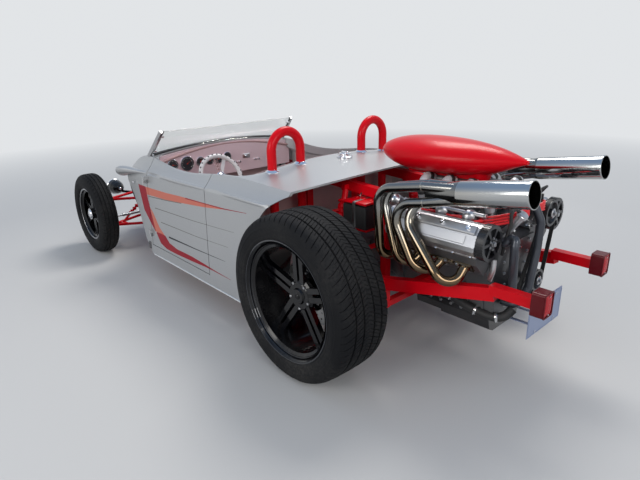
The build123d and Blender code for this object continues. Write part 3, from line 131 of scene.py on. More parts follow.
def make_road_film():
    """Dust that gathers low down and a faint cloudiness over a finish."""
    tree, given, result = new_group(
        "road_film", "ShaderNodeTree",
        [("Colour", "Color", (0.5, 0.5, 0.5, 1)), ("Dust Colour", "Color", (0.36, 0.33, 0.29, 1)),
         ("Dust", "Float", 0.3), ("Dust Top", "Float", 0.5), ("Cloud", "Float", 0.08),
         ("Cloud Scale", "Float", 5.0), ("Roughness", "Float", 0.3)],
        [("Colour", "Color"), ("Roughness", "Float")])
    place = object_place(tree)
    height = split(tree, place)[2]
    cloud = noise_of(tree, place, given["Cloud Scale"], 5.0)
    speck = noise_of(tree, place, 90.0, 3.0)
    low = calc(tree, "SUBTRACT", given["Dust Top"], height)
    low = calc(tree, "DIVIDE", low, given["Dust Top"], clamp=True)
    patch = calc(tree, "MULTIPLY", ramp(tree, cloud, 0.35, 0.7), ramp(tree, speck, 0.3, 0.7))
    mask = calc(tree, "MULTIPLY", calc(tree, "MULTIPLY", low, patch), given["Dust"])
    shade = calc(tree, "MULTIPLY", calc(tree, "SUBTRACT", cloud, 0.5), given["Cloud"])
    grey = add_node(tree, "ShaderNodeCombineColor", {0: shade, 1: shade, 2: shade}).outputs[0]
    tinted = mix_colour(tree, 1.0, given["Colour"], grey, "ADD")
    dusty = mix_colour(tree, mask, tinted, given["Dust Colour"])
    rough = calc(tree, "ADD", given["Roughness"], calc(tree, "MULTIPLY", mask, 0.5))
    rough = calc(tree, "ADD", rough, calc(tree, "MULTIPLY", shade, 0.6), clamp=True)
    tree.links.new(dusty, result["Colour"])
    tree.links.new(rough, result["Roughness"])
    return tree


def make_surface_grain():
    """A fine bump height: cast skin, leather pores or brushed lines, by its scale and stretch."""
    tree, given, result = new_group(
        "surface_grain", "ShaderNodeTree",
        [("Scale", "Float", 400.0), ("Stretch", "Vector", (1, 1, 1)), ("Pores", "Float", 0.0)],
        [("Height", "Float")])
    stretched = add_node(tree, "ShaderNodeVectorMath", {0: object_place(tree), 1: given["Stretch"]},
                         operation="MULTIPLY").outputs[0]
    noise = noise_of(tree, stretched, given["Scale"], 4.0)
    cells = add_node(tree, "ShaderNodeTexVoronoi",
                     {"Vector": stretched, "Scale": given["Scale"]}).outputs["Distance"]
    height = add_node(tree, "ShaderNodeMix", {0: given["Pores"], 2: noise, 3: cells}).outputs[0]
    tree.links.new(height, result["Height"])
    return tree


ROAD_FILM = make_road_film()
SURFACE_GRAIN = make_surface_grain()
BUMP_STRENGTH = 0.6
COAT_ROUGH = 0.05


def filmed_material(name, base, recolour=None, **film):
    """A Principled material whose colour and roughness come through the road film."""
    material = bpy.data.materials.new(name)
    material.use_nodes = True
    tree = material.node_tree
    surface = tree.nodes["Principled BSDF"].inputs
    if recolour:
        base = recolour(tree, base)
    values = {label.replace("_", " "): value for label, value in film.items()}
    filmed = add_node(tree, "ShaderNodeGroup", {"Colour": base, **values},
                      node_tree=ROAD_FILM).outputs
    tree.links.new(filmed["Colour"], surface["Base Color"])
    tree.links.new(filmed["Roughness"], surface["Roughness"])
    return material, tree, surface


def finish(name, colour, metallic, rough, dust, bump, dust_top=0.45, cloud=0.04, cloud_scale=5.0,
           grain=400.0, stretch=(1, 1, 1), pores=0.0, coat=0.0, specular=None, recolour=None):
    """One material: a Principled surface under the road film, with its own fine grain."""
    colour = (*colour, 1.0)
    material, tree, surface = filmed_material(
        name, colour, recolour, Dust=dust, Dust_Top=dust_top, Cloud=cloud,
        Cloud_Scale=cloud_scale, Roughness=rough)
    material.diffuse_color = colour
    surface["Metallic"].default_value = metallic
    surface["Coat Weight"].default_value = coat
    surface["Coat Roughness"].default_value = COAT_ROUGH
    if specular is not None:
        surface["Specular IOR Level"].default_value = specular
    texture = add_node(tree, "ShaderNodeGroup",
                       {"Scale": grain, "Stretch": stretch, "Pores": pores},
                       node_tree=SURFACE_GRAIN)
    relief = add_node(tree, "ShaderNodeBump", {
        "Height": texture.outputs["Height"], "Distance": bump, "Strength": BUMP_STRENGTH})
    tree.links.new(relief.outputs[0], surface["Normal"])
    return material


# Stripes and a painted shadow on the body's sides, in the order of painting: their paint, whether
# they stand upright, and rows of place along the car, low edge and high edge. Upright: height,
# front and rear edge.
STRIPE_SIDE_X = 0.645
PAINT_METAL = 0.62
SALMON = (0.56, 0.155, 0.105, 1)
DARK_RED = (0.29, 0.002, 0.014, 1)
# grey of two pinstripes, and of the painted shadow under the salmon spear
PIN_AND_SHADOW_GREY = (0.17, 0.16, 0.15, 1)
PIN_BLACK = (0.02, 0.02, 0.025, 1)
STRIPES_AND_SHADOW = [
    # painted shadow: a thin grey line under the salmon spear's low edge
    (PIN_AND_SHADOW_GREY, False, [(-698, 580, 586), (-430, 598, 606), (-218, 617, 623)]),
    (SALMON, False, [(-730, 592, 645), (-430, 605, 652), (-218, 622, 663), (66, 648, 672),
                     (284, 676, 680)]),
    (DARK_RED, False, [(-160, 658, 666), (30, 667, 672), (284, 676, 682), (495, 695, 697)]),
    (DARK_RED, True, [(345, -633, -630), (388, -691, -647), (427, -737, -659), (472, -790, -676),
                      (544, -819, -703), (645, -858, -733)]),
    (SALMON, True, [(346, -630, -491), (388, -647, -564), (428, -659, -600), (479, -676, -648),
                    (502, -690, -685)]),
    (DARK_RED, False, [(-619, 335, 344), (-565, 275, 348), (-485, 256, 347), (-430, 254.5, 308),
                       (-325, 255, 292), (-133, 262, 294), (41, 271, 286), (128, 272, 279),
                       (313, 270, 272)]),
    (PIN_BLACK, False, [(-436, 344, 356), (-64, 355, 361), (263, 368, 370)]),
    (PIN_AND_SHADOW_GREY, False, [(-610, 514, 520), (-86, 534, 538), (369, 563, 565)]),
    (PIN_AND_SHADOW_GREY, False, [(-533, 429, 435), (-52, 441, 445), (302, 462, 464)]),
]


def strip_mask(tree, along, across, rows):
    """1 between the low and high edge of a strip, as straight runs between its rows."""
    rows = [[value / 1000 for value in row] for row in rows]
    first, last = rows[0][0], rows[-1][0]
    low = min(row[1] for row in rows)
    high = max(row[2] for row in rows)
    share = ramp(tree, along, first, last)
    edges = []
    for column in (1, 2):
        curve = tree.nodes.new("ShaderNodeFloatCurve")
        line = curve.mapping.curves[0]
        for row in rows[1:-1]:
            line.points.new((row[0] - first) / (last - first), 0.0)
        for point, row in zip(line.points, rows):
            point.location = ((row[0] - first) / (last - first), (row[column] - low) / (high - low))
            point.handle_type = "VECTOR"
        curve.mapping.update()
        tree.links.new(share, curve.inputs["Value"])
        edges.append(ramp(tree, curve.outputs[0], 0.0, 1.0, low, high))
    inside = calc(tree, "MULTIPLY", calc(tree, "GREATER_THAN", across, edges[0]),
                  calc(tree, "LESS_THAN", across, edges[1]))
    inside = calc(tree, "MULTIPLY", inside, calc(tree, "GREATER_THAN", along, first))
    return calc(tree, "MULTIPLY", inside, calc(tree, "LESS_THAN", along, last))


def paint_stripes_and_shadow(tree, base):
    """Silver flake, and the stripes over it with less metal; the first is a painted shadow."""
    place = object_place(tree)
    x, y, z = split(tree, place)
    outside = calc(tree, "GREATER_THAN", calc(tree, "ABSOLUTE", x), STRIPE_SIDE_X)
    flake = add_node(tree, "ShaderNodeTexVoronoi", {"Vector": place, "Scale": 900.0}).outputs[1]
    shade = add_node(tree, "ShaderNodeSeparateColor", {0: flake}).outputs[0]
    colour = mix_colour(tree, ramp(tree, shade, 0.0, 1.0, 0.0, 0.10), base, (1, 1, 1, 1))
    painted = 0.0
    for paint, upright, rows in STRIPES_AND_SHADOW:
        along, across = (z, y) if upright else (y, z)
        mask = calc(tree, "MULTIPLY", strip_mask(tree, along, across, rows), outside)
        colour = mix_colour(tree, mask, colour, paint)
        painted = calc(tree, "MAXIMUM", mask, painted)
    metal = ramp(tree, painted, 0.0, 1.0, PAINT_METAL, 0.05)
    tree.links.new(metal, tree.nodes["Principled BSDF"].inputs["Metallic"])
    return colour


# Colours along a header tube, from the engine out
HEAT_COLOURS = [(0.15, (0.055, 0.036, 0.022, 1)), (0.40, (0.145, 0.096, 0.052, 1)),
                (0.62, (0.19, 0.148, 0.096, 1)), (0.80, (0.20, 0.185, 0.155, 1)),
                (1.0, (0.24, 0.25, 0.25, 1))]
STRAW = (0.34, 0.29, 0.21, 1)


def heat_tint(tree, base):
    """Straw and bronze along a header tube, darker near the engine."""
    place = object_place(tree)
    wave = noise_of(tree, place, 9.0, 3.0)
    near = calc(tree, "ADD", ramp(tree, split(tree, place)[2], 0.53, 0.90),
                calc(tree, "MULTIPLY", wave, 0.5))
    scale = tree.nodes.new("ShaderNodeValToRGB")
    stops = scale.color_ramp.elements
    stops[0].position, stops[0].color = HEAT_COLOURS[0]
    stops[1].position, stops[1].color = HEAT_COLOURS[-1]
    for position, colour in HEAT_COLOURS[1:-1]:
        stops.new(position).color = colour
    tree.links.new(near, scale.inputs[0])
    return mix_colour(tree, 0.85, base, scale.outputs[0])


def polished_pipe(tree, base):
    """Straw colour that fades from the collector towards the open end."""
    y = split(tree, object_place(tree))[1]
    fade = ramp(tree, y, AXLE_Y + 0.45, AXLE_Y + 0.75, 0.55, 0.0)
    return mix_colour(tree, fade, base, STRAW)


def make_glass():
    """Clear tinted pane, partly see-through so that it shadows softly."""
    material, _, surface = filmed_material(
        "windshield_pane", (0.90, 0.95, 0.95, 1), Dust=0.1, Dust_Top=1.2, Cloud=0.01,
        Roughness=0.02)
    surface["Transmission Weight"].default_value = 1.0
    surface["IOR"].default_value = 1.45
    surface["Alpha"].default_value = 0.32
    return material


# Every finish by its record slot or its own key: name, colour, metallic, roughness, dust, and
# the bump's height in metres
MATERIALS = {
    "body_silver": finish("silver_paint", (0.43, 0.435, 0.44), PAINT_METAL, 0.38, 0.12, 2e-5,
                          dust_top=0.2, cloud=0.015, grain=900.0, coat=0.06, specular=0.22,
                          recolour=paint_stripes_and_shadow),
    "cabin_grey": finish("cabin_paint", (0.42, 0.30, 0.30), 0.2, 0.5, 0.3, 1e-4, grain=300.0),
    "dash_silver": finish("dash_paint", (0.76, 0.57, 0.60), 0.25, 0.34, 0.0, 2e-5, coat=0.3),
    "upholstery": finish("seat_leather", (0.36, 0.20, 0.19), 0.0, 0.55, 0.2, 6e-4, grain=260.0,
                         pores=0.8, specular=0.35),
    "black_trim": finish("black_rubber_trim", (0.015, 0.015, 0.016), 0.0, 0.42, 0.3, 1e-4),
    "frame_red": finish("red_enamel", (0.62, 0.0015, 0.008), 0.0, 0.30, 0.08, 2e-5,
                        dust_top=0.12, cloud=0.005, coat=0.07, specular=0.14),
    "steel": finish("machined_steel", (0.42, 0.42, 0.43), 1.0, 0.32, 0.4, 5e-5, grain=500.0,
                    stretch=(1, 0.05, 1)),
    "cast_metal": finish("cast_aluminium", (0.17, 0.17, 0.175), 0.9, 0.46, 0.3, 5e-4,
                         dust_top=0.6, grain=420.0, pores=0.5),
    "cover_metal": finish("cover_aluminium", (0.50, 0.50, 0.51), 0.9, 0.30, 0.1, 5e-5,
                          grain=600.0, stretch=(1, 0.08, 1)),
    "engine_black": finish("engine_enamel", (0.014, 0.014, 0.016), 0.0, 0.30, 0.3, 2e-4,
                           coat=0.3, grain=500.0),
    "wheel_rim": finish("pale_wheel_rim", (0.60, 0.57, 0.57), 0.0, 0.28, 0.0, 4e-5, coat=0.3),
    "tyre": finish("tyre_rubber", (0.0075, 0.0078, 0.009), 0.0, 0.70, 0.10, 3e-4, dust_top=1.2,
                   cloud=0.004, grain=700.0, specular=0.14),
    "rim_black": finish("rim_enamel", (0.003, 0.003, 0.004), 0.0, 0.16, 0.06, 2e-5, dust_top=0.5,
                        coat=0.22, specular=0.25),
    "plate_white": finish("plate_enamel", (0.24, 0.29, 0.43), 0.2, 0.35, 0.25, 5e-5),
    "chrome": finish("chrome_plate", (0.80, 0.80, 0.82), 1.0, 0.08, 0.2, 1e-5),
    "rubber": finish("belt_rubber", (0.018, 0.018, 0.018), 0.0, 0.6, 0.1, 2e-4),
    "lip_enamel": finish("rim_lip_enamel", (0.012, 0.014, 0.020), 0.6, 0.10, 0.0, 1e-5, coat=0.8),
    "hose_grey": finish("hose_rubber", (0.055, 0.060, 0.072), 0.5, 0.30, 0.05, 1e-4, grain=500.0),
    "battery_black": finish("moulded_plastic", (0.02, 0.02, 0.02), 0.0, 0.5, 0.2, 3e-4,
                            grain=350.0),
    "header_bronze": finish("heated_steel", (0.30, 0.23, 0.16), 1.0, 0.15, 0.0, 3e-5, cloud=0.05,
                            cloud_scale=14.0, recolour=heat_tint),
    "exhaust_steel": finish("polished_steel", (0.50, 0.51, 0.51), 1.0, 0.10, 0.0, 2e-5,
                            recolour=polished_pipe),
    "disc_steel": finish("swept_disc_steel", (0.50, 0.49, 0.48), 1.0, 0.30, 0.1, 1e-4,
                         grain=700.0, stretch=(1, 1, 0.1)),
    "dial_black": finish("dial_face", (0.020, 0.022, 0.026), 0.0, 0.35, 0.0, 2e-5),
    "dial_mark": finish("dial_mark", (0.70, 0.70, 0.68), 0.0, 0.5, 0.0, 2e-5),
    "needle_red": finish("dial_needle", (0.55, 0.04, 0.02), 0.0, 0.5, 0.0, 2e-5),
    "wire_red": finish("ignition_wire", (0.80, 0.022, 0.028), 0.0, 0.35, 0.0, 5e-5),
    "hose_white": finish("pale_hose", (0.58, 0.60, 0.62), 0.3, 0.35, 0.1, 1e-4),
    "lens_red": finish("lamp_lens_red", (0.42, 0.003, 0.010), 0.0, 0.20, 0.0, 5e-4, coat=0.1,
                       grain=260.0, pores=1.0, specular=0.2),
    "lamp_shell": finish("lamp_housing", (0.10, 0.0015, 0.005), 0.0, 0.25, 0.0, 2e-5,
                         specular=0.22),
    "lens_clear": finish("lamp_lens_clear", (0.72, 0.74, 0.76), 0.6, 0.10, 0.05, 5e-4, coat=1.0,
                         grain=120.0, stretch=(1, 0.1, 0.1)),
    "sill_silver": finish("polished_moulding", (0.70, 0.70, 0.70), 0.9, 0.18, 0.3, 2e-5,
                          dust_top=0.3),
    "cowl_leather": finish("dash_roll_leather", (0.40, 0.25, 0.245), 0.0, 0.5, 0.05, 5e-4,
                           grain=260.0, pores=0.8, specular=0.35),
    "piping": finish("seat_piping_leather", (0.22, 0.12, 0.115), 0.0, 0.5, 0.1, 4e-4,
                     grain=300.0, pores=0.6, specular=0.35),
    "band_steel": finish("clamp_steel", (0.70, 0.70, 0.70), 1.0, 0.20, 0.1, 3e-5),
    "glass": make_glass(),
}
# Nodes whose finish differs from the plain one of their slot
OWN_FINISH = {"tail_lamps": "lamp_shell", "windshield_posts": "steel"}


def dress_cad_nodes():
    """Each CAD node takes the finish of its record slot, or its own."""
    for row in frame["record"]["subparts"]:
        node = frame["nodes"][row["node"]]
        material = MATERIALS[OWN_FINISH.get(row["node"], row["material_slot"])]
        node.data.materials.clear()
        node.data.materials.append(material)


# Places and directions

def mm(x, y, z):
    return Vector((x / 1000, y / 1000, z / 1000))


def at(x, y, z):
    """A point given in millimetres from the rear axle's line on the ground."""
    return Vector((x / 1000, y / 1000 + AXLE_Y, z / 1000))


def round_x(angle):
    return Vector((0, sin(angle), cos(angle)))


def round_y(angle):
    return Vector((sin(angle), 0, cos(angle)))


def even(first, last, count):
    """Evenly spaced values from the first to the last."""
    return [first + (last - first) * k / (count - 1) for k in range(count)]


def frame_of(axis):
    """Two directions square to an axis."""
    axis = Vector(axis).normalized()
    rough = UP if abs(axis.z) < 0.9 else Vector((1, 0, 0))
    first = axis.cross(rough).normalized()
    return first, axis.cross(first)


def smooth_path(points, steps=6):
    """Points along a smooth line through the given ones."""
    points = [Vector(p) for p in points]
    ends = [2 * points[0] - points[1]] + points + [2 * points[-1] - points[-2]]
    path = []
    for a, b, c, d in zip(ends, ends[1:], ends[2:], ends[3:]):
        for k in range(steps):
            t = k / steps
            path.append(0.5 * (2 * b + (c - a) * t + (2 * a - 5 * b + 4 * c - d) * t * t
                               + (3 * b - a - 3 * c + d) * t ** 3))
    return path + [points[-1]]


def run(points, steps=6):
    """A smooth path through points given from the rear axle in millimetres."""
    return [at(*p) for p in smooth_path(points, steps)]


def rounded_loop(half_a, half_b, inset, radius, steps):
    """Places of a rounded rectangle, with so many points at each corner."""
    loop = []
    for k, (a, b) in enumerate(((1, 1), (-1, 1), (-1, -1), (1, -1))):
        for angle in even(radians(90 * k), radians(90 * k + 90), steps):
            loop.append((a * (half_a - inset) + radius * cos(angle),
                         b * (half_b - inset) + radius * sin(angle)))
    return loop


# Shapes. Each maker is called with its measures and gives what adds the shape to a mesh.

def recipe(maker):
    def measured(*measures, **named):
        return lambda work: maker(work, *measures, **named)
    return measured


def circle(middle, first, second, radius, sides):
    return [middle + (first * cos(tau * k / sides) + second * sin(tau * k / sides)) * radius
            for k in range(sides)]


def lay_ring(work, ring, before, closed=True):
    """Join a new ring of points to the ring before it; returns the new ring."""
    verts = [work.verts.new(point) for point in ring]
    if before:
        join_rings(work, before, verts, closed)
    return verts


def join_rings(work, near, far, closed=True):
    count = len(far)
    for k in range(count if closed else count - 1):
        n = (k + 1) % count
        work.faces.new((near[k], near[n], far[n], far[k]))


@recipe
def lathe(work, profile, place, axis, sides=32, base=0.0):
    """A turned shape; its profile's pairs, along the axis and out from a base radius, are mm."""
    axis = Vector(axis).normalized()
    first, second = frame_of(axis)
    before = None
    for along, radius in profile:
        ring = circle(Vector(place) + axis * (along / 1000), first, second,
                      base + radius / 1000, sides)
        before = lay_ring(work, ring, before)


@recipe
def sweep(work, path, radius, sides=10, flat=1.0, closed=False, level=None):
    """A tube along a path; flat squeezes it along its second direction."""
    before = start = first = None
    count = len(path)
    for k, point in enumerate(path):
        if closed:
            way = path[(k + 1) % count] - path[k - 1]
        else:
            way = path[min(k + 1, count - 1)] - path[max(k - 1, 0)]
        way.normalize()
        if first is None:
            first = frame_of(way)[0] if level is None else Vector(level)
        first = (first - way * first.dot(way)).normalized()
        ring = circle(point, first, way.cross(first) * flat, radius, sides)
        before = lay_ring(work, ring, before)
        start = start or before
    if closed:
        join_rings(work, before, start)
    else:
        work.faces.new(start)
        work.faces.new(before)


@recipe
def block(work, low, high, bevel, turn=None, about=None):
    """A box between two corners, with its edges rounded, turned about a point."""
    middle = (low + high) / 2
    made = bmesh.ops.create_cube(work, size=1.0)["verts"]
    bmesh.ops.scale(work, vec=high - low, verts=made)
    # Each edge and vertex once
    edges = list(dict.fromkeys(edge for vert in made for edge in vert.link_edges))
    rounded = bmesh.ops.bevel(work, geom=edges, offset=bevel, segments=2, profile=0.5,
                              affect="EDGES")["verts"]
    made = list(dict.fromkeys(vert for vert in [*made, *rounded] if vert.is_valid))
    bmesh.ops.translate(work, vec=middle, verts=made)
    if turn is not None:
        bmesh.ops.rotate(work, cent=about or middle, matrix=turn, verts=made)


@recipe
def prism(work, outline, way):
    """A prism from a flat closed outline, pushed along a direction."""
    near = [work.verts.new(p) for p in outline]
    far = [work.verts.new(p + way) for p in outline]
    work.faces.new(near)
    work.faces.new(list(reversed(far)))
    join_rings(work, near, far)


@recipe
def grid(work, rows, closed=False):
    """A surface through rows of points."""
    before = None
    for row in rows:
        before = lay_ring(work, row, before, closed)


@recipe
def round_rim(work, rings):
    """A ring of rings, joined at its ends."""
    before = start = None
    for ring in rings:
        before = lay_ring(work, ring, before)
        start = start or before
    join_rings(work, before, start)


# Pieces
JOIN_DISTANCE = 2e-5
SHORTEST_EDGE = 5e-6


def add_shapes(work, shapes):
    """Add shapes, and lists of shapes, to a mesh in their order."""
    for shape in shapes:
        if callable(shape):
            shape(work)
        else:
            add_shapes(work, shape)


def mesh_of(name, shapes, twin=False):
    """One mesh of some shapes, and of their mirror image across the car if it has a twin."""
    work = bmesh.new()
    add_shapes(work, shapes)
    if twin:
        other = work.copy()
        bmesh.ops.scale(other, vec=(-1, 1, 1), verts=other.verts)
        bmesh.ops.reverse_faces(other, faces=other.faces)
        extra = bpy.data.meshes.new("twin")
        other.to_mesh(extra)
        other.free()
        work.from_mesh(extra)
        bpy.data.meshes.remove(extra)
    bmesh.ops.remove_doubles(work, verts=work.verts, dist=JOIN_DISTANCE)
    bmesh.ops.dissolve_degenerate(work, edges=work.edges, dist=SHORTEST_EDGE)
    bmesh.ops.recalc_face_normals(work, faces=work.faces)
    mesh = bpy.data.meshes.new(name)
    work.to_mesh(mesh)
    work.free()
    return mesh


def new_object(name, data):
    """An object in the scene."""
    made = bpy.data.objects.new(name, data)
    bpy.context.scene.collection.objects.link(made)
    return made


def add_mesh(name, mesh, finish_key, body="chassis", smooth=35.0, replaces=()):
    """Make a mesh a piece of one body, with its finish."""
    mesh.name = name
    mesh.materials.clear()
    mesh.materials.append(MATERIALS[finish_key])
    if smooth:
        mesh.shade_smooth()
        mesh.set_sharp_from_angle(angle=radians(smooth))
    piece = new_object(name, mesh)
    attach(piece, body)
    if replaces:
        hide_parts(*replaces)
    return piece


def add_piece(name, finish_key, *shapes, twin=False, **settings):
    return add_mesh(name, mesh_of(name, shapes, twin), finish_key, **settings)


# Geometry Nodes for what repeats

def end_tree(tree, geometry, given, result):
    """Finish a tree: its geometry takes the given material and goes out."""
    dressed = add_node(tree, "GeometryNodeSetMaterial",
                       {"Geometry": geometry, "Material": given["Finish"]})
    tree.links.new(dressed.outputs[0], result[0])
    return tree


def make_ring_tree():
    """Copies of a shape turned about an axis along X, joined into one skin."""
    tree, given, result = new_group(
        "ring_of_pitches", "GeometryNodeTree",
        [("Geometry", "Geometry"), ("Copies", "Int", 60), ("Centre", "Vector", (0, 0, 0)),
         ("Join Distance", "Float", JOIN_DISTANCE), ("Finish", "Material")],
        [("Geometry", "Geometry")])
    line = add_node(tree, "GeometryNodeMeshLine", {
        "Count": given["Copies"], "Start Location": given["Centre"], "Offset": (0, 0, 0)})
    index = tree.nodes.new("GeometryNodeInputIndex").outputs[0]
    turn = calc(tree, "DIVIDE", calc(tree, "MULTIPLY", index, tau), given["Copies"])
    angles = add_node(tree, "ShaderNodeCombineXYZ", {0: turn}).outputs[0]
    spread = add_node(tree, "GeometryNodeInstanceOnPoints", {
        "Points": line.outputs[0], "Instance": given["Geometry"], "Rotation": angles})
    real = add_node(tree, "GeometryNodeRealizeInstances", {0: spread.outputs[0]})
    joined = add_node(tree, "GeometryNodeMergeByDistance", {
        "Geometry": real.outputs[0], "Distance": given["Join Distance"]})
    return end_tree(tree, joined.outputs[0], given, result)


def make_scatter_tree():
    """Copies of a shape on marked points, each facing the way its point does."""
    tree, given, result = new_group(
        "fasteners_on_points", "GeometryNodeTree",
        [("Geometry", "Geometry"), ("Fastener", "Object"), ("Size", "Float", 1.0),
         ("Finish", "Material")], [("Geometry", "Geometry")])
    shape = add_node(tree, "GeometryNodeObjectInfo", {"Object": given["Fastener"]})
    facing = add_node(tree, "GeometryNodeInputNamedAttribute", {"Name": "facing"},
                      data_type="FLOAT_VECTOR").outputs[0]
    scale = add_node(tree, "GeometryNodeInputNamedAttribute", {"Name": "size"},
                     data_type="FLOAT").outputs[0]
    turned = add_node(tree, "FunctionNodeAlignRotationToVector", {"Vector": facing}, axis="Z")
    spread = add_node(tree, "GeometryNodeInstanceOnPoints", {
        "Points": given["Geometry"], "Instance": shape.outputs["Geometry"],
        "Rotation": turned.outputs[0], "Scale": calc(tree, "MULTIPLY", scale, given["Size"])})
    real = add_node(tree, "GeometryNodeRealizeInstances", {0: spread.outputs[0]})
    return end_tree(tree, real.outputs[0], given, result)


RING_TREE = make_ring_tree()
SCATTER_TREE = make_scatter_tree()


def run_tree(tree, mesh, values):
    """The plain mesh that a Geometry Nodes tree makes of a mesh with these inputs."""
    holder = new_object("shape_holder", mesh)
    modifier = holder.modifiers.new("nodes", "NODES")
    modifier.node_group = tree
    for item in tree.interface.items_tree:
        if item.in_out == "INPUT" and item.name in values:
            modifier[item.identifier] = values[item.name]
    bpy.context.view_layer.update()
    ready = holder.evaluated_get(bpy.context.evaluated_depsgraph_get())
    made = bpy.data.meshes.new_from_object(ready)
    holder.modifiers.remove(modifier)
    bpy.data.objects.remove(holder)
    return made


def fastener(name, profile, sides):
    """A nut or bolt head that stands along +Z on its point, kept out of the scene."""
    return bpy.data.objects.new(name, mesh_of(name, [lathe(profile, mm(0, 0, 0), UP, sides)]))


HEX_BOLT = fastener("hex_bolt_shape", [(-1, 0), (-1, 7.5), (0.6, 7.5), (0.7, 5.6), (4.2, 5.6),
                                       (4.8, 5), (4.8, 0)], 6)
CAP_SCREW = fastener("cap_screw_shape", [(-1, 0), (-1, 5.2), (4, 5.2), (4.6, 4.5), (4.6, 2.6),
                                         (2.4, 2.4), (2.4, 0)], 14)
LUG_NUT = fastener("lug_nut_shape", [(-1, 0), (-1, 10.5), (3, 10), (12, 9.2), (16, 7), (18, 0)], 6)


def fasteners(name, shape, rows, finish_key, body="chassis"):
    """Bolts, screws or nuts of one body: rows are (point, facing, size)."""
    mesh = bpy.data.meshes.new(name + "_points")
    mesh.from_pydata([tuple(row[0]) for row in rows], [], [])
    mesh.attributes.new("facing", "FLOAT_VECTOR", "POINT")
    mesh.attributes.new("size", "FLOAT", "POINT")
    for k, (_, way, size) in enumerate(rows):
        mesh.attributes["facing"].data[k].vector = Vector(way).normalized()
        mesh.attributes["size"].data[k].value = size
    made = run_tree(SCATTER_TREE, mesh, {"Fastener": shape, "Size": 1.0,
                                         "Finish": MATERIALS[finish_key]})
    add_mesh(name, made, finish_key, body, 30.0)


# Tyres: half of each profile from its middle out, as place across and radius, and its columns'
# parts: r rib, g groove, s shoulder, and after them the side. Depths are of the cuts across.
TREADS = {
    "rear": {"half": [(0, 401.6), (23.5, 401.6), (25, 401.6), (26.2, 394.6), (33.8, 394.6),
                      (35, 401.4), (48, 401.2), (61, 400.9), (72, 400.5), (73.2, 393.5),
                      (80.8, 393), (82, 399.8), (92, 399), (103, 397.8), (116, 394.5),
                      (127, 389.5), (134.5, 382), (140, 373), (144, 360), (145.6, 352),
                      (146.8, 350), (147.3, 344), (146.2, 342), (147.2, 334), (145, 315),
                      (144, 312), (144.8, 308), (142.5, 299), (137, 292.5)],
             "parts": "rrrggrrrrggrrssss", "pitches": 66, "lean": 0.55, "groove": 6.0,
             "sipe": 3.0},
    "front": {"half": [(0, 318.6), (10, 318.6), (11.2, 312.6), (16.8, 312.6), (18, 318.2),
                       (29, 317.6), (36, 316.8), (37.2, 310.8), (42.3, 309.8), (43.5, 314.8),
                       (53, 310), (61, 301), (66, 290), (70.5, 275), (71.6, 265.5), (72.7, 263),
                       (72.8, 257), (71.6, 255), (71.2, 240), (69, 225), (64, 214),
                       (56, 207.6)],
              "parts": "rrggrrrggsss", "pitches": 58, "lean": 0.95, "groove": 5.5,
              "sipe": 2.8},
}
# Rows of one pitch: share of the pitch, and what is cut there
PITCH_ROWS = [(0.00, ""), (0.10, ""), (0.12, "cross"), (0.22, "cross"), (0.24, ""), (0.42, ""),
              (0.60, ""), (0.62, "sipe"), (0.66, "sipe"), (0.68, ""), (0.84, ""), (1.00, "")]
PLAIN_HALF_W = 20


def tyre_pitch(tread):
    """Rows of one pitch of a tyre, its tread cut by cross grooves that lean in a V."""
    half = [(x, r, part) for (x, r), part in zip(tread["half"], tread["parts"].ljust(40))]
    columns = [(-x, r, part) for x, r, part in reversed(half[1:])] + half
    step = tau / tread["pitches"]
    rows = []
    for share, cut in PITCH_ROWS:
        row = []
        for x, r, part in columns:
            if cut == "cross" and part in "rs" and abs(x) > PLAIN_HALF_W:
                r -= tread["groove"]
            elif cut == "sipe" and part == "r":
                r -= tread["sipe"]
            leaning = tread["lean"] * min(abs(x), half[-12][0]) / half[0][1]
            angle = share * step + leaning
            row.append(mm(x, r * sin(angle), r * cos(angle)))
        rows.append(row)
    return rows


def make_tyres():
    for tag, _ in SIDE_TAGS:
        for end, tread in TREADS.items():
            node, name = f"{end}_tyre_{tag}", f"{end}_tyre_tread_{tag}"
            pitch = mesh_of(name + "_pitch", [grid(tyre_pitch(tread))])
            made = run_tree(RING_TREE, pitch, {
                "Copies": tread["pitches"], "Centre": tuple(centre(node)),
                "Join Distance": JOIN_DISTANCE, "Finish": MATERIALS["tyre"]})
            add_mesh(name, made, "tyre", f"wheel_{end}_{tag}", 28.0, (node,))


# Brake discs, in metres: where the swept face stands across from the wheel's middle plane, its
# inner and outer radius, and then the holes in a ring
REAR_DISC = (-0.0316, 0.098, 0.1697, 20)
FRONT_DISC = (-0.0356, 0.062, 0.1397, 16)
DISC_HOLE_EDGE = 0.0018
DISC_DEPTH = 0.0022
LUG_NUTS = 5
LUG_CIRCLE_R = 0.065
LUG_FACE = 0.030
VALVE_ANGLE = 0.7
VALVE_R = 0.252
VALVE_ACROSS = 0.098


@recipe
def disc_face(work, hub, way, across, inner, outer, holes):
    """Thin swept face of a brake disc with rings of drilled holes."""
    sides = holes * 4
    before = None
    for radius in even(inner, outer, 7):
        ring = circle(hub + way * across, *frame_of(way), radius, sides)
        before = lay_ring(work, ring, before)
    bmesh.ops.recalc_face_normals(work, faces=work.faces)
    drilled = []
    for k, face in enumerate(work.faces):
        band, place = divmod(k, sides)
        if band in (1, 3, 5) and (place + 2 * (band // 2)) % 4 == 0:
            drilled.append(face)
    bmesh.ops.inset_individual(work, faces=drilled, thickness=DISC_HOLE_EDGE)
    bmesh.ops.delete(work, geom=drilled, context="FACES")
    edges = [edge for edge in work.edges if edge.is_boundary]
    pulled = bmesh.ops.extrude_edge_only(work, edges=edges)["geom"]
    verts = [item for item in pulled if isinstance(item, bmesh.types.BMVert)]
    bmesh.ops.translate(work, vec=-way * DISC_DEPTH, verts=verts)


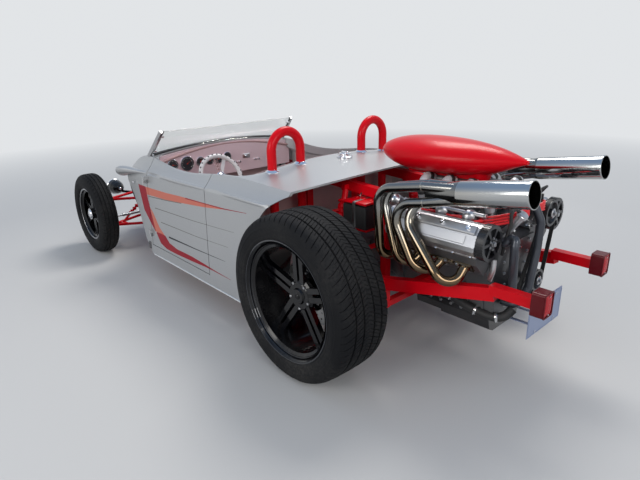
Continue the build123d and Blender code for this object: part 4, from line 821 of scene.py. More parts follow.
def make_wheel_hardware():
    for tag, side in SIDE_TAGS:
        way = Vector((side, 0, 0))
        hub, body = centre(f"rear_tyre_{tag}"), f"wheel_rear_{tag}"
        nuts = [(hub + round_x(tau * (k + 0.5) / LUG_NUTS) * LUG_CIRCLE_R + way * LUG_FACE,
                 way, 1.0) for k in range(LUG_NUTS)]
        fasteners(f"rear_lug_nuts_{tag}", LUG_NUT, nuts, "steel", body)
        add_piece(f"rear_disc_face_{tag}", "disc_steel",
                  disc_face(hub, way, *REAR_DISC), body=body)
        add_piece(f"rear_hub_cap_{tag}", "rim_black",
                  lathe([(52, 0), (52.5, 20), (52, 32.5), (50, 34.5), (47, 34.5)], hub, way, 40),
                  lathe([(58, 0), (57.5, 9), (54.5, 13), (50, 13)], hub, way, 24), body=body)
        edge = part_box(f"rear_rim_{tag}")[0 if side < 0 else 1]
        face = Vector((edge.x, hub.y, hub.z))
        add_piece(f"rear_rim_lips_{tag}", "lip_enamel",
                  lathe([(-4, 291.5), (1.2, 291.5), (2.2, 288.5), (0.8, 285.5), (-3, 284)],
                        face, way, 128),
                  [lathe([(-2, 1), (0, 0), (3, -0.8), (6, 0), (8, 1)], face - way * inward, way,
                         128, radius) for inward, radius in ((0.014, 0.2700), (0.026, 0.2655))],
                  body=body)
        stem = hub + way * VALVE_ACROSS + round_x(VALVE_ANGLE) * VALVE_R
        add_piece(f"rear_valve_{tag}", "black_trim",
                  lathe([(-12, 6), (4, 5.5), (6, 3.8), (22, 3.6), (22.5, 4.6), (32, 4.6),
                         (34, 3), (34, 0)], stem, way - round_x(VALVE_ANGLE) * 0.35, 14),
                  body=body)
        hub, body = centre(f"front_tyre_{tag}"), f"wheel_front_{tag}"
        add_piece(f"front_hub_cap_{tag}", "chrome",
                  lathe([(40, 34.5), (47.5, 34), (53, 31), (57.5, 24), (60, 14), (61, 0)],
                        hub, way, 36),
                  lathe([(39.5, 44.5), (48, 44), (49, 42), (47.8, 36)], hub, way, 36), body=body)
        add_piece(f"front_rim_edge_{tag}", "steel",
                  lathe([(52.5, 206.2), (55.2, 206.6), (55.8, 203), (55.2, 197), (53, 195)],
                        hub, way, 96), body=body)
        add_piece(f"front_disc_face_{tag}", "disc_steel",
                  disc_face(hub, way, *FRONT_DISC), body=body)


# Body trim, in millimetres from the rear axle
SILL_RUN = [(685, -1640, 168), (685, -1300, 168), (685, -900, 168), (684.8, -440, 168)]
HOOP_Y = -510
HOOP_LEGS = (247, 446)
GLASS_BASE = (-1728, 850)
GLASS_TOP = (-1572, 1014)
GLASS_LOW_HALF_W = 572
GLASS_TOP_HALF_W = 544
FOOT_RUBBER_BEHIND = 26
CLIP_SHARES = (0.14, 0.80)
CAP_KNURLS = 36
COLLAR = [(-4, 26.2), (-4, 39), (0, 39.8), (4, 37.5), (8, 30), (11, 27.5), (12, 26)]


def on_glass(share, outward, offset=(0, 0, 0)):
    """A point near the pane's left edge, at a share of its height."""
    y, z = (low + (high - low) * share for low, high in zip(GLASS_BASE, GLASS_TOP))
    half = GLASS_LOW_HALF_W + (GLASS_TOP_HALF_W - GLASS_LOW_HALF_W) * share
    return at(half + outward, y, z) + mm(*offset)


def top_of(*nodes):
    """A function that gives the highest surface of some CAD nodes over a place."""
    trees = []
    for node in nodes:
        shape = bmesh.new()
        shape.from_mesh(frame["nodes"][node].data)
        trees.append(BVHTree.FromBMesh(shape))
        shape.free()

    def height(x, y):
        hits = [tree.ray_cast(Vector((x, y, 3.0)), -UP)[0] for tree in trees]
        return max(hit.z for hit in hits if hit)

    return height


def deck_height(x):
    """Height of the body's top over the hoops' line, at a place across."""
    return 897 - 49 * (x / 597) ** 2


def make_sill_beads():
    bead = sweep(run(SILL_RUN, 5), 0.0075, 12, 0.8, level=(1, 0, 0))
    add_piece("sill_beads", "sill_silver", bead, twin=True)


def make_windshield_trim():
    """Rubber at the glass's foot and along its side edges, and the posts' clips."""
    y = at(0, GLASS_BASE[0] + FOOT_RUBBER_BEHIND, 0).y
    cowl = top_of("body_shell", "hood_panel")
    half = 0.985 * GLASS_LOW_HALF_W / 1000
    foot = [Vector((x, y, cowl(x, y) + 0.006)) for x in even(-half, half, 25)]
    add_piece("windshield_foot_rubber", "black_trim", sweep(foot, 0.0115, 14, 0.9))
    outer = [on_glass(share, -4, (0, 12, 3)) for share in (0.02, 0.35, 0.7, 1.0)]
    add_piece("windshield_side_rubbers", "black_trim", sweep(smooth_path(outer, 4), 0.0040),
              twin=True)
    add_piece("windshield_clips", "chrome", [
        [block(on_glass(share, -22, (0, -7, -10)), on_glass(share, 10, (0, 12, 10)), 0.003),
         lathe([(-1, 0), (-1, 5.8), (3, 5.6), (4, 4.2), (4, 0)],
               on_glass(share, -8, (0, 12, 0)), REAR, 14)] for share in CLIP_SHARES], twin=True)


def make_hoop_collars():
    add_piece("hoop_collars", "chrome", [
        lathe(COLLAR, at(side * x, HOOP_Y, deck_height(x) + 2), (0, 0.02, 1), 36)
        for side in SIDES for x in HOOP_LEGS])


def make_fuel_cap_trim():
    """The filler cap's knurled ring and raised lever."""
    low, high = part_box("fuel_cap")
    middle = Vector(((low.x + high.x) / 2, (low.y + high.y) / 2, high.z))
    radius = (high.x - low.x) * 500
    knurls = []
    for k in range(CAP_KNURLS):
        angle = tau * k / CAP_KNURLS
        out = Vector((cos(angle), sin(angle), 0)) / 1000
        side = Vector((-out.y, out.x, 0))
        knurls.append(prism([middle + out * (radius + r) + side * s + mm(0, 0, -10) for r, s in
                             ((-0.6, 1.6), (-0.6, -1.6), (1.2, -0.8), (1.2, 0.8))], mm(0, 0, 8)))
    add_piece("fuel_cap_trim", "chrome", knurls, lathe(
        [(-1, radius * 0.80), (1.5, radius * 0.80), (3, radius * 0.76), (3, radius * 0.55),
         (1.2, radius * 0.50), (3, radius * 0.40), (5, radius * 0.20), (5.5, 0)],
        middle, UP, 48), block(middle + mm(-6, -26, 2), middle + mm(6, 26, 12), 0.003))


def make_side_fittings():
    """The bolts at the cowl's sides and the small tabs low on the body's leading edge."""
    bolts = [(mm(side * 665.5, -924, 648), (side, 0, 0.1), 1.5) for side in SIDES]
    fasteners("cowl_bolts", CAP_SCREW, bolts, "chrome")
    add_piece("side_tabs", "cast_metal", block(mm(678, -752, 196), mm(690, -728, 248), 0.003),
              lathe([(0, 0), (0, 6), (3, 6), (4, 0)], mm(690, -740, 236), (1, 0, 0), 14),
              twin=True)


# Engine trim. The left bank's own directions: across its cylinders and out along them.
CRANK_Z = 434.5
BANK_LEAN = radians(45.0)
HEAD_HALF_W = 90
PORT_PLACES = (246, 361, 477, 592)
THROTTLE_PLACES = (150, 283, 416, 550)
PORT_OUT = 322
INJECTOR_ACROSS = -106
INJECTOR_OUT = 374
COVER_OUT = 452
COVER_FRONT, COVER_REAR = 195, 655
ACROSS_WAY = Vector((sin(BANK_LEAN), 0, -sin(BANK_LEAN)))
OUT_WAY = Vector((sin(BANK_LEAN), 0, cos(BANK_LEAN)))


def bank(across, y, out):
    """A point of the left bank, across its cylinders and out from the crankshaft."""
    return at(0, y, CRANK_Z) + ACROSS_WAY * (across / 1000) + OUT_WAY * (out / 1000)


def flipped(way):
    return Vector((-way[0], way[1], way[2]))


def on_both_banks(rows):
    """Rows of (point, facing, size) and their mirror images."""
    return rows + [(flipped(point), flipped(way), size) for point, way, size in rows]


def make_cam_cover_trim():
    """Raised coil strip along each cam cover, its bare panel, and their screws."""
    outline = [bank(across, COVER_FRONT + 12, COVER_OUT + out) for across, out in (
        (-34, 1.5), (-34, 10.5), (-30, 13), (0, 9), (5, 5.5), (5, -3.5))]
    add_piece("cam_cover_strips", "cover_metal",
              prism(outline, mm(0, COVER_REAR - COVER_FRONT - 24, 0)), twin=True, smooth=25.0)
    panel = [[bank(across, y, COVER_OUT + out) for y in (COVER_FRONT + 50, COVER_FRONT + 55,
                                                         COVER_REAR - 55, COVER_REAR - 50)]
             for across, out in ((10, -6.5), (12, -3.5), (46, -15), (48, -18.5))]
    add_piece("cam_cover_panels", "cover_metal", grid(panel), twin=True, smooth=25.0)
    rows = [(bank(-16, y, COVER_OUT + 11.5), OUT_WAY + ACROSS_WAY * 0.12, 2.1)
            for y in even(COVER_FRONT + 45, COVER_REAR - 45, 4)]
    for y in even(COVER_FRONT + 22, COVER_REAR - 22, 6):
        rows += [(bank(72.5, y, 387), ACROSS_WAY * 0.2 + OUT_WAY, 1.0),
                 (bank(-71.5, y, 387), OUT_WAY, 1.0)]
    fasteners("cam_cover_screws", CAP_SCREW, on_both_banks(rows), "chrome")


def make_rear_fittings():
    """Cast water necks, loop hoses and senders behind the banks' ends."""
    neck = run([(128, 640, 700), (138, 690, 745), (142, 722, 785), (143, 742, 812)])
    bar = run([(236, 676, 540), (240, 690, 590), (238, 690, 636)])
    add_piece("water_necks", "cover_metal", sweep(neck, 0.0170, 20),
              lathe([(-4, 0), (-4, 23.5), (6, 23.5), (8, 21.5), (12, 21.5), (14, 10), (14, 0)],
                    neck[-1], neck[-1] - neck[-2], 28),
              block(at(104, 634, 668), at(156, 650, 716), 0.006),
              sweep(bar, 0.0120, 16, 0.55))
    loop = [(176, 690, 640), (182, 704, 717), (184, 718, 780), (192, 722, 826),
            (172, 726, 842), (152, 734, 828)]
    hook = [(60, 700, 850), (66, 760, 905), (40, 780, 922), (5, 760, 905), (-4, 715, 850)]
    add_piece("loop_hoses", "rubber", sweep(run(loop, 8), 0.0072, 14),
              sweep(run(hook, 8), 0.0050, 12))
    sender = [(-12, 0), (-12, 12.5), (4, 12.5), (6, 8.5), (22, 8.5), (24, 6), (34, 5.5), (34, 0)]
    add_piece("sender_units", "band_steel", [
        lathe(sender, at(*place), way, 6) for place, way in (
            ((82, 660, 720), (0.3, 1, 0.2)), ((-85, 660, 735), (0, 1, 0.3)),
            ((30, 668, 640), (0, 1, 0)), ((-130, 650, 690), (-0.2, 1, 0.2)))])


def make_head_trim():
    """Flange nuts and core plugs on the heads' outer faces, under the covers."""
    rows = [(bank(HEAD_HALF_W + 9.3, (before + after) / 2 + y, PORT_OUT + out), ACROSS_WAY, 1.15)
            for before, after in zip(PORT_PLACES, PORT_PLACES[1:])
            for out in (-16, 14) for y in (-28, 28)]
    fasteners("header_flange_nuts", HEX_BOLT, on_both_banks(rows), "steel")
    plug = [(-1, 20), (2.5, 20), (3.5, 18.5), (3.5, 15), (1.5, 14), (1.5, 0)]
    add_piece("head_core_plugs", "steel", [
        lathe(plug, bank(HEAD_HALF_W - 1, y, 282), ACROSS_WAY, 24) for y in PORT_PLACES],
        twin=True)


# Tail pipes: their open end, direction, and how far ahead of it the collector's seam lies
TAIL_TIP = (328, 867, 955)
TAIL_WAY = (-0.03, 0.99, 0.145)
SEAM_LENGTH = 0.450


def make_header_trim():
    """Rings where the header tubes leave their flange, where they join, and at the pipe's end."""
    ring = [(0, 0), (0, 26.2), (4, 26.2), (6.5, 23.5), (6.5, 20.8)]
    add_piece("header_port_rings", "header_bronze", [
        lathe(ring, bank(HEAD_HALF_W + 9, y, PORT_OUT), ACROSS_WAY, 28) for y in PORT_PLACES],
        twin=True)
    way = Vector(TAIL_WAY).normalized()
    level = Vector((way.y, -way.x, 0)).normalized()
    tip = at(*TAIL_TIP)
    seam = tip - way * SEAM_LENGTH
    add_piece("tail_pipe_seams", "exhaust_steel", [
        lathe([(-3.5, 20.8), (-2, 22), (2, 22), (3.5, 20.8)],
              seam + level * across * 0.030 + level.cross(way) * high * 0.034, way, 32)
        for across in SIDES for high in SIDES],
        lathe([(-6, 52.4), (-5.5, 53.5), (-1, 53.5), (0, 52.8), (-0.5, 50.6), (-4, 50.2)],
              tip, way, 64), twin=True)


def hose_clamp(point, way, radius):
    """A worm clamp round a hose: band, raised screw housing and screw."""
    first, second = frame_of(way)
    return [lathe([(-6, 0.2), (-6, 1.2), (-4.5, 1.6), (4.5, 1.6), (6, 1.2), (6, 0.2)],
                  point, way, 32, radius),
            lathe([(-9, 0), (-9, 4.2), (9, 4.2), (9.5, 3), (13, 3), (13, 0)],
                  point + first * (radius + 0.0045), second, 10)]


# Intake runner sleeves from each port's place, and the pipe along the engine's left foot
RUNNER_SLEEVE = [(128, 0, 800), (140, 0, 846), (124, -4, 882), (94, -4, 897), (56, 0, 888)]
RUNNER_SLEEVE_R = 0.0205
LOWER_PIPE = [(150, 290, 402), (158, 400, 388), (160, 520, 352), (150, 640, 330),
              (128, 700, 338), (95, 725, 372)]
LOWER_PIPE_R = 0.021
PLUG_WIRE_R = 0.0052


def make_pipes():
    sleeves = [[at(side * x, place + y, z) for x, y, z in smooth_path(RUNNER_SLEEVE, 8)]
               for side in SIDES for place in PORT_PLACES]
    add_piece("runner_sleeves", "hose_white",
              [sweep(path, RUNNER_SLEEVE_R, 20) for path in sleeves])
    add_piece("runner_couplings", "rubber", [
        lathe([(-11, 0), (-11, 2.2), (11, 2.2), (11, 0)], path[k], path[k + 1] - path[k - 1],
              28, RUNNER_SLEEVE_R) for path in sleeves for k in (6, 26)])
    path = run(LOWER_PIPE)
    add_piece("lower_coolant_pipe", "rubber", sweep(path, LOWER_PIPE_R, 24))
    add_piece("lower_pipe_clamps", "band_steel", [
        hose_clamp(path[k], path[k + 1] - path[k - 1], LOWER_PIPE_R) for k in (3, 9, 15, 21)])


def make_injection():
    """Injectors with their plugs, the fuel rails over them, and the throttle castings."""
    injector = [(-4, 0), (-4, 10), (8, 10), (9, 7.8), (22, 7.8), (23, 9.8), (32, 9.8), (33, 0)]
    add_piece("fuel_injectors", "engine_black", [
        lathe(injector, bank(INJECTOR_ACROSS, y, INJECTOR_OUT), OUT_WAY, 18)
        for y in PORT_PLACES], twin=True)
    ends = [bank(INJECTOR_ACROSS, y, INJECTOR_OUT + 40)
            for y in (PORT_PLACES[0] - 30, PORT_PLACES[-1] + 28)]
    add_piece("fuel_rails", "cover_metal", sweep(ends, 0.0095, 16), [
        lathe([(-1, 11.8), (7, 11.8), (8.5, 10), (8.5, 0)], end, REAR * way, 6)
        for end, way in zip(ends, (-1, 1))], twin=True)
    casting = [(-20, 0), (-20, 30), (0, 31), (12, 29), (30, 27), (34, 30), (42, 30), (46, 27),
               (58, 22), (66, 12), (67, 0)]
    way = (OUT_WAY + ACROSS_WAY * 0.25).normalized()
    add_piece("throttle_castings", "cover_metal", [
        [lathe(casting, foot, way, 28),
         [lathe([(-1.2, 29), (-1.2, 32.5), (1.2, 32.5), (1.2, 29)],
                foot + way * (0.004 + 0.007 * k), way, 28) for k in range(4)]]
        for foot in (bank(-104, y, 372) for y in THROTTLE_PLACES)], twin=True)


def make_wires():
    """Red plug wires from each cover's inner edge, gathered towards the rear, and their caps."""
    wires = []
    for k, y in enumerate(PORT_PLACES):
        y, back, lane = y - 20, 4 * k, 12 * k - 18
        path = run([(262 - back, y, 742), (250 - back, y + 12, 775),
                    (228 - lane * 0.3, y + 40, 783), (205 - lane * 0.3, 590, 770 + lane * 0.8),
                    (170, 655, 782 + lane), (118, 712, 800 + lane),
                    (62, 728, 808 + lane * 0.8), (30 + lane * 0.4, 705, 800)], 7)
        wires += [sweep(path, PLUG_WIRE_R, 8),
                  lathe([(-4, 0), (-4, 10), (12, 9.5), (20, 6), (26, 5.5), (26, 0)],
                        path[0], path[3] - path[0], 14)]
    add_piece("plug_wires", "wire_red", wires, twin=True, smooth=40.0)
    lean = (0, 0.55, 1)
    cap = [(-45, 0), (-45, 33), (-12, 34.5), (-8, 37), (4, 37), (12, 30), (20, 24), (22, 0)]
    add_piece("ignition_caps", "engine_black", [
        [lathe(cap, at(side * 48, 690, 800), lean, 28),
         [lathe([(0, 0), (0, 6.2), (16, 5.6), (16, 0)],
                at(side * 48 + 21 * cos(angle), 698 + 18.27 * sin(angle), 812), lean, 12)
          for angle in even(0, tau * 5 / 6, 6)]] for side in SIDES])
    add_piece("wire_combs", "engine_black", [
        block(at(x - 6, y - 6, z - 14), at(x + 6, y + 6, z + 44), 0.002)
        for x, y, z in ((206, 588, 772), (140, 690, 800))], twin=True)


# Pulleys behind the engine: x and z, and the cam gears' place
PULLEYS = [(0, CRANK_Z), (-106, 449), (-170, 755)]
CAM_GEAR_FACE = 706
CAM_OUT = 404
CAM_X = CAM_OUT * sin(BANK_LEAN)
CAM_Z = CRANK_Z + CAM_OUT * cos(BANK_LEAN)


def make_pulley_trim():
    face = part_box("belt_pulleys")[1].y - 0.004
    hubs = [Vector((x / 1000, face, z / 1000)) for x, z in PULLEYS]
    add_piece("pulley_hub_plates", "steel", [
        lathe([(0, 0), (0, 22), (5, 22), (8, 18), (8, 0)], hub, REAR, 24) for hub in hubs])
    rows = [(hub + mm(0, 8, 0), REAR, 1.7) for hub in hubs]
    for x in (CAM_X, -CAM_X):
        rows.append((at(x, CAM_GEAR_FACE, CAM_Z), REAR, 1.9))
        rows += [(at(x + 23 * cos(angle), CAM_GEAR_FACE - 2, CAM_Z + 23 * sin(angle)), REAR, 0.85)
                 for angle in even(tau / 12, tau * 11 / 12, 6)]
    fasteners("pulley_bolts", HEX_BOLT, rows, "steel")


def make_block_trim():
    """Bolts along the sump and the timing cover."""
    low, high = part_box("oil_pan")
    z = high.z - 0.012
    rows = [(Vector((side * 0.1405, y, z)), (side, 0, 0), 1.2)
            for side in SIDES for y in even(low.y + 0.03, high.y - 0.03, 7)]
    rows += [(Vector((x, high.y, z)), REAR, 1.2) for x in even(-0.11, 0.11, 5)]
    fasteners("sump_bolts", HEX_BOLT, rows, "steel")
    low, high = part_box("timing_cover")
    rows = [(Vector((side * (0.060 + 0.011 * k), high.y, z)), REAR, 1.1) for side in SIDES
            for k, z in enumerate(even(low.z + 0.02, high.z - 0.02, 6))]
    fasteners("timing_cover_bolts", HEX_BOLT, rows, "steel")


# Cockpit. Gauges, in millimetres: place across, height and radius.
GAUGES = [(463, 768, 40), (352, 764, 52), (246, 764, 34), (170, 764, 34), (94, 764, 34),
          (18, 770, 34)]
BIG_GAUGE_R = 36
GAUGE_SWEEP = radians(130)
NEEDLE_TURNS = (-95, -58, -21, 16, 53, 90)
DASH_FACE_Y = -1648
WHEEL_CENTRE = (320, -1250, 722)
WHEEL_TILT = radians(28.0)
WHEEL_R = 0.145
RIM_STUDS = 28
RIM_STEPS = 96
RIM_SIDES = 14


def make_gauges():
    """Bezel, dark face, scale marks and needle of each round instrument."""
    bezels, faces, marks, needles = [], [], [], []
    for (x, z, radius), needle_turn in zip(GAUGES, NEEDLE_TURNS):
        middle = at(x, DASH_FACE_Y, z)
        bezels.append(lathe([(-2, 2), (2, 2), (3.5, 0), (3.5, -2), (1.5, -3)], middle, REAR, 40,
                            radius / 1000))
        faces.append(lathe([(1, 0), (1, radius - 3)], middle, REAR, 32))
        turns = even(-GAUGE_SWEEP, GAUGE_SWEEP, 21 if radius > BIG_GAUGE_R else 11)
        for j, angle in enumerate(turns):
            near, half = (0.66, 1.1) if j % 5 == 0 else (0.74, 0.6)
            out, side = round_y(angle) * radius / 1000, round_y(angle + tau / 4) / 1000
            marks.append(prism([middle + REAR * 0.0016 + out * r + side * s for r, s in (
                (near, -half), (near, half), (0.84, half), (0.84, -half))], REAR * 0.0004))
        angle = radians(needle_turn)
        out, side = round_y(angle) * radius / 1000, round_y(angle + tau / 4) * 0.0014
        base = middle + REAR * 0.0024
        needles += [prism([base - out * 0.15 + side, base - out * 0.15 - side,
                           base + out * 0.72], REAR * 0.0008),
                    lathe([(0, 4.2), (3.6, 4), (4.2, 3), (4.2, 0)], middle, REAR, 16)]
    add_piece("gauge_bezels", "chrome", bezels)
    add_piece("gauge_faces", "dial_black", faces)
    add_piece("gauge_marks", "dial_mark", marks, smooth=0)
    add_piece("gauge_needles", "needle_red", needles)


def make_dash_trim():
    """Padded roll over the dash, a blank latch plate, switches and knobs."""
    path = [at(x, -1668 + 20 * (x / 560) ** 2, 868 - 75 * (x / 560) ** 2)
            for x in (-560, -450, -300, -150, 0, 150, 300, 450, 560)]
    add_piece("dash_roll", "cowl_leather", sweep(smooth_path(path, 5), 0.013, 16, 0.8))
    knob = [(-2, 0), (-2, 9), (2, 9), (3, 4.5), (11, 4.5), (12, 7.5), (19, 7), (20, 0)]
    add_piece("dash_switches", "chrome",
              block(at(-190, -1657, 735), at(-122, -1650, 771), 0.002),
              lathe([(0, 0), (0, 8), (12, 8), (14, 6), (14, 0)], at(-156, -1651, 753), REAR, 20),
              [lathe(knob, at(x, -1657, 716), REAR, 20) for x in (-90, -55, -235, -270)])


def make_steering_wheel_trim():
    """Rim with finger grooves and studs, drilled spokes and a plain centre button."""
    toward = Vector((0, cos(WHEEL_TILT), sin(WHEEL_TILT)))
    up = Vector((0, -sin(WHEEL_TILT), cos(WHEEL_TILT)))
    side = Vector((1, 0, 0))
    middle, body = at(*WHEEL_CENTRE), "steering_wheel"
    rings = []
    for k in range(RIM_STEPS):
        angle = tau * k / RIM_STEPS
        out = side * sin(angle) + up * cos(angle)
        swell = 0.0150 + 0.0014 * max(-0.4, cos(angle * RIM_STUDS))
        rings.append([middle + out * (WHEEL_R + swell * cos(tau * j / RIM_SIDES))
                      + toward * swell * 0.84 * sin(tau * j / RIM_SIDES)
                      for j in range(RIM_SIDES)])
    add_piece("steering_rim", "wheel_rim", round_rim(rings), body=body)
    studs = []
    for k in range(RIM_STUDS):
        angle = tau * (k + 0.5) / RIM_STUDS
        out = side * sin(angle) + up * cos(angle)
        studs.append((middle + out * (WHEEL_R + 0.0085) + toward * 0.0095,
                      toward + out * 0.8, 0.85))
    fasteners("steering_rim_studs", CAP_SCREW, studs, "black_trim", body)
    spokes = []
    for angle in (radians(90), radians(210), radians(330)):
        out = side * cos(angle) + up * sin(angle)
        across = toward.cross(out)
        for j in range(4):
            hole = 6.2 - 0.6 * j
            spokes.append(lathe([(4.2, 1.6), (5, 1), (5, 0), (2.8, -0.6), (2.8, -hole)],
                                middle + out * (0.052 + 0.021 * j) - toward * 0.0082, toward, 18,
                                hole / 1000))
        for sign in SIDES:
            line = [middle + out * share + across * half * sign * 0.92 - toward * 0.0030
                    for share, half in ((0.030, 0.0165), (0.080, 0.0135), (0.134, 0.0150))]
            spokes.append(sweep(smooth_path(line, 5), 0.0016, 8))
    add_piece("steering_spoke_trim", "cowl_leather", spokes, body=body)
    add_piece("steering_centre", "chrome", lathe(
        [(-14, 33.5), (0, 33.5), (3.5, 31.5), (4.5, 27), (2, 25.5), (4, 22.5), (7.5, 15),
         (8.5, 0)], middle, toward, 40), body=body)


# Pedals: place across and half width
PEDALS = [(185, 28), (285, 32), (385, 24)]


def make_controls():
    """Shift lever with its boot, and three pedals."""
    base, lean = at(10, -1235, 350), (0, 0.1, 1)
    add_piece("shift_boot", "black_trim", [
        lathe([(10 * k, 52 - 9 * k), (10 * k + 4, 54 - 9 * k), (10 * k + 10, 43 - 9 * k)],
              base, lean, 28) for k in range(5)])
    add_piece("shift_lever", "chrome",
              lathe([(40, 8), (215, 6.2), (222, 10.5), (222, 0)], base, lean, 20),
              lathe([(222, 0), (222, 12), (232, 21), (246, 24.5), (258, 21), (268, 10), (270, 0)],
                    base, lean, 28))
    arms, pads = [], []
    turn = Matrix.Rotation(radians(-28), 3, "X")
    for x, half in PEDALS:
        top, foot = at(x, -1745, 520), at(x, -1660, 300)
        arms.append(sweep(smooth_path([top, (top + foot) / 2 + mm(0, 12, 0), foot]), 0.0075))
        pads.append(block(foot + mm(-half, 4, -36), foot + mm(half, 14, 36), 0.003, turn))
        pads += [block(foot + mm(-half * 0.8, 13, z), foot + mm(half * 0.8, 17, z + 7), 0.001,
                       turn, foot + mm(0, 9, 0)) for z in (-28, -12, 4, 20)]
    add_piece("pedal_arms", "steel", arms)
    add_piece("pedal_pads", "black_trim", pads)


# Seats: places across of the sewn channels, and what shapes the stuffing, in metres
CUSHION_CHANNELS = (-0.150, -0.075, 0.0, 0.075, 0.150)
BACK_CHANNELS = (-0.445, -0.365, -0.285, -0.205, -0.125, 0.0, 0.125, 0.205, 0.285, 0.365, 0.445)
SEAM_HALF_W = 0.007
ROUNDING = 0.030
CROWN = 0.010
WAIST = 0.010
BORDER = 0.045
CHANNEL_DEPTH = 0.009
BORDER_DEPTH = 0.007
STITCH_STEP = 0.0085
CUSHION_X = 0.355
CUSHION_W = 0.452
BACK_SIZE = (0.406, 0.086)
BACK_LEAN = radians(-12.0)


def shell_of_box(cells):
    """Vertex keys and faces of a box's surface divided into cells."""
    keys, faces = {}, []
    # Each pair of sides: the axis through it, and the two axes that its cells run along
    for axis, first, second in ((2, 0, 1), (1, 0, 2), (0, 1, 2)):
        for i in range(cells[first]):
            for j in range(cells[second]):
                for end in ((cells[axis], 0) if axis == 2 else (0, cells[axis])):
                    corners = []
                    for a, b in ((0, 0), (1, 0), (1, 1), (0, 1)):
                        key = [end, end, end]
                        key[first], key[second] = i + a, j + b
                        corners.append(tuple(key))
                    if (end == 0) == (axis != 1):
                        corners = [corners[0], *reversed(corners[1:])]
                    faces.append([keys.setdefault(key, len(keys)) for key in corners])
    return keys, faces


def padded_mesh(name, size, cells, channels):
    """A stuffed block that lies flat below: crowned top, waisted sides, sewn channels."""
    keys, faces = shell_of_box(cells)
    half = Vector(size) / 2
    points = []
    for key in keys:
        u, v, w = (2 * place / count - 1 for place, count in zip(key, cells))
        flat = Vector((u * half.x, v * half.y, w * half.z))
        core = Vector([max(ROUNDING - h, min(h - ROUNDING, f)) for f, h in zip(flat, half)])
        away = flat - core
        if away.length > 0:
            flat = core + away.normalized() * ROUNDING
        waist = WAIST * (1 - w * w)
        flat.x -= waist * (1 - v ** 4) * (1 if u > 0.98 else -1 if u < -0.98 else 0)
        flat.y -= waist * (1 - u ** 4) * (1 if v > 0.98 else -1 if v < -0.98 else 0)
        if w > 0:
            flat.z -= CROWN * w * (1 - (1 - u ** 6) * (1 - v ** 4))
            inside = min(half.x - abs(flat.x), half.y - abs(flat.y))
            if inside > BORDER:
                near = min(abs(flat.x - place) for place in channels)
                flat.z -= CHANNEL_DEPTH * w * max(0.0, 1 - near / (2.2 * SEAM_HALF_W)) ** 2
            ring = abs(inside - BORDER)
            flat.z -= BORDER_DEPTH * w * max(0.0, 1 - ring / (1.6 * SEAM_HALF_W)) ** 2
        points.append(tuple(flat))
    mesh = bpy.data.meshes.new(name)
    mesh.from_pydata(points, [], faces)
    return mesh


def stitches(middle, half, lift):
    """Stitches in pairs along each channel of a cushion, on its top."""
    made = []
    for place in CUSHION_CHANNELS:
        for side in (-1, 1):
            y = 0.056 - half.y
            while y < half.y - 0.060:
                start = middle + Vector((place + side * SEAM_HALF_W * 0.9, y, lift))
                made.append(sweep([start, start + mm(0, 5.2, 0)], 0.0007, 5))
                y += STITCH_STEP
    return made


def add_pad(name, size, cells, channels, place, replaced):
    mesh = padded_mesh(name, size, cells, channels)
    mesh.transform(place)
    pad = add_mesh(name, mesh, "upholstery", "chassis", 60.0, (replaced,))


def make_seats():
    low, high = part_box("seat_cushions")
    size = (CUSHION_W, high.y - low.y - 0.002, high.z - low.z - 0.001)
    half = Vector(size) / 2
    for tag, side in SIDE_TAGS:
        middle = Vector((side * CUSHION_X, (low.y + high.y) / 2, (low.z + high.z) / 2))
        add_pad(f"seat_cushion_{tag}", size, (84, 64, 10), CUSHION_CHANNELS,
                Matrix.Translation(middle), "seat_cushions")
        welt = [middle + Vector((x, y, half.z - 0.016))
                for x, y in rounded_loop(half.x, half.y, 0.034, 0.030, 7)]
        add_piece(f"seat_piping_{tag}", "piping", sweep(welt, 0.0048, 10, 1.0, True, UP),
                  stitches(middle, half, half.z - 0.0025))
    low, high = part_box("seat_back")
    lean = Matrix.Rotation(BACK_LEAN, 4, "X") @ Matrix.Rotation(radians(90.0), 4, "X")
    add_pad("seat_back_pad", (high.x - low.x - 0.002, *BACK_SIZE), (150, 56, 8),
            BACK_CHANNELS, Matrix.Translation((low + high) / 2) @ lean, "seat_back")


# Lamps, plate, battery and small hardware
LAMP_HALF_X = 0.036
PLATE_HALF = (0.1524, 0.0762)
PLATE_HOLES = (88.9, 60.3)
HEADLAMP_PLACE = (0.465, 0.432)
LENS_RIBS = 18
RIB_HEIGHT = 0.0012
GRILLE_HALF_W = 0.136
GRILLE_BARS = 9
CALIPER_BOLTS = (0.028, 0.038)
# Wishbone posts: places across and along, and the heights of their bolts
FRONT_POSTS = ((300, -2644), (338, -2296))
FRONT_POST_HEIGHTS = (190, 408)


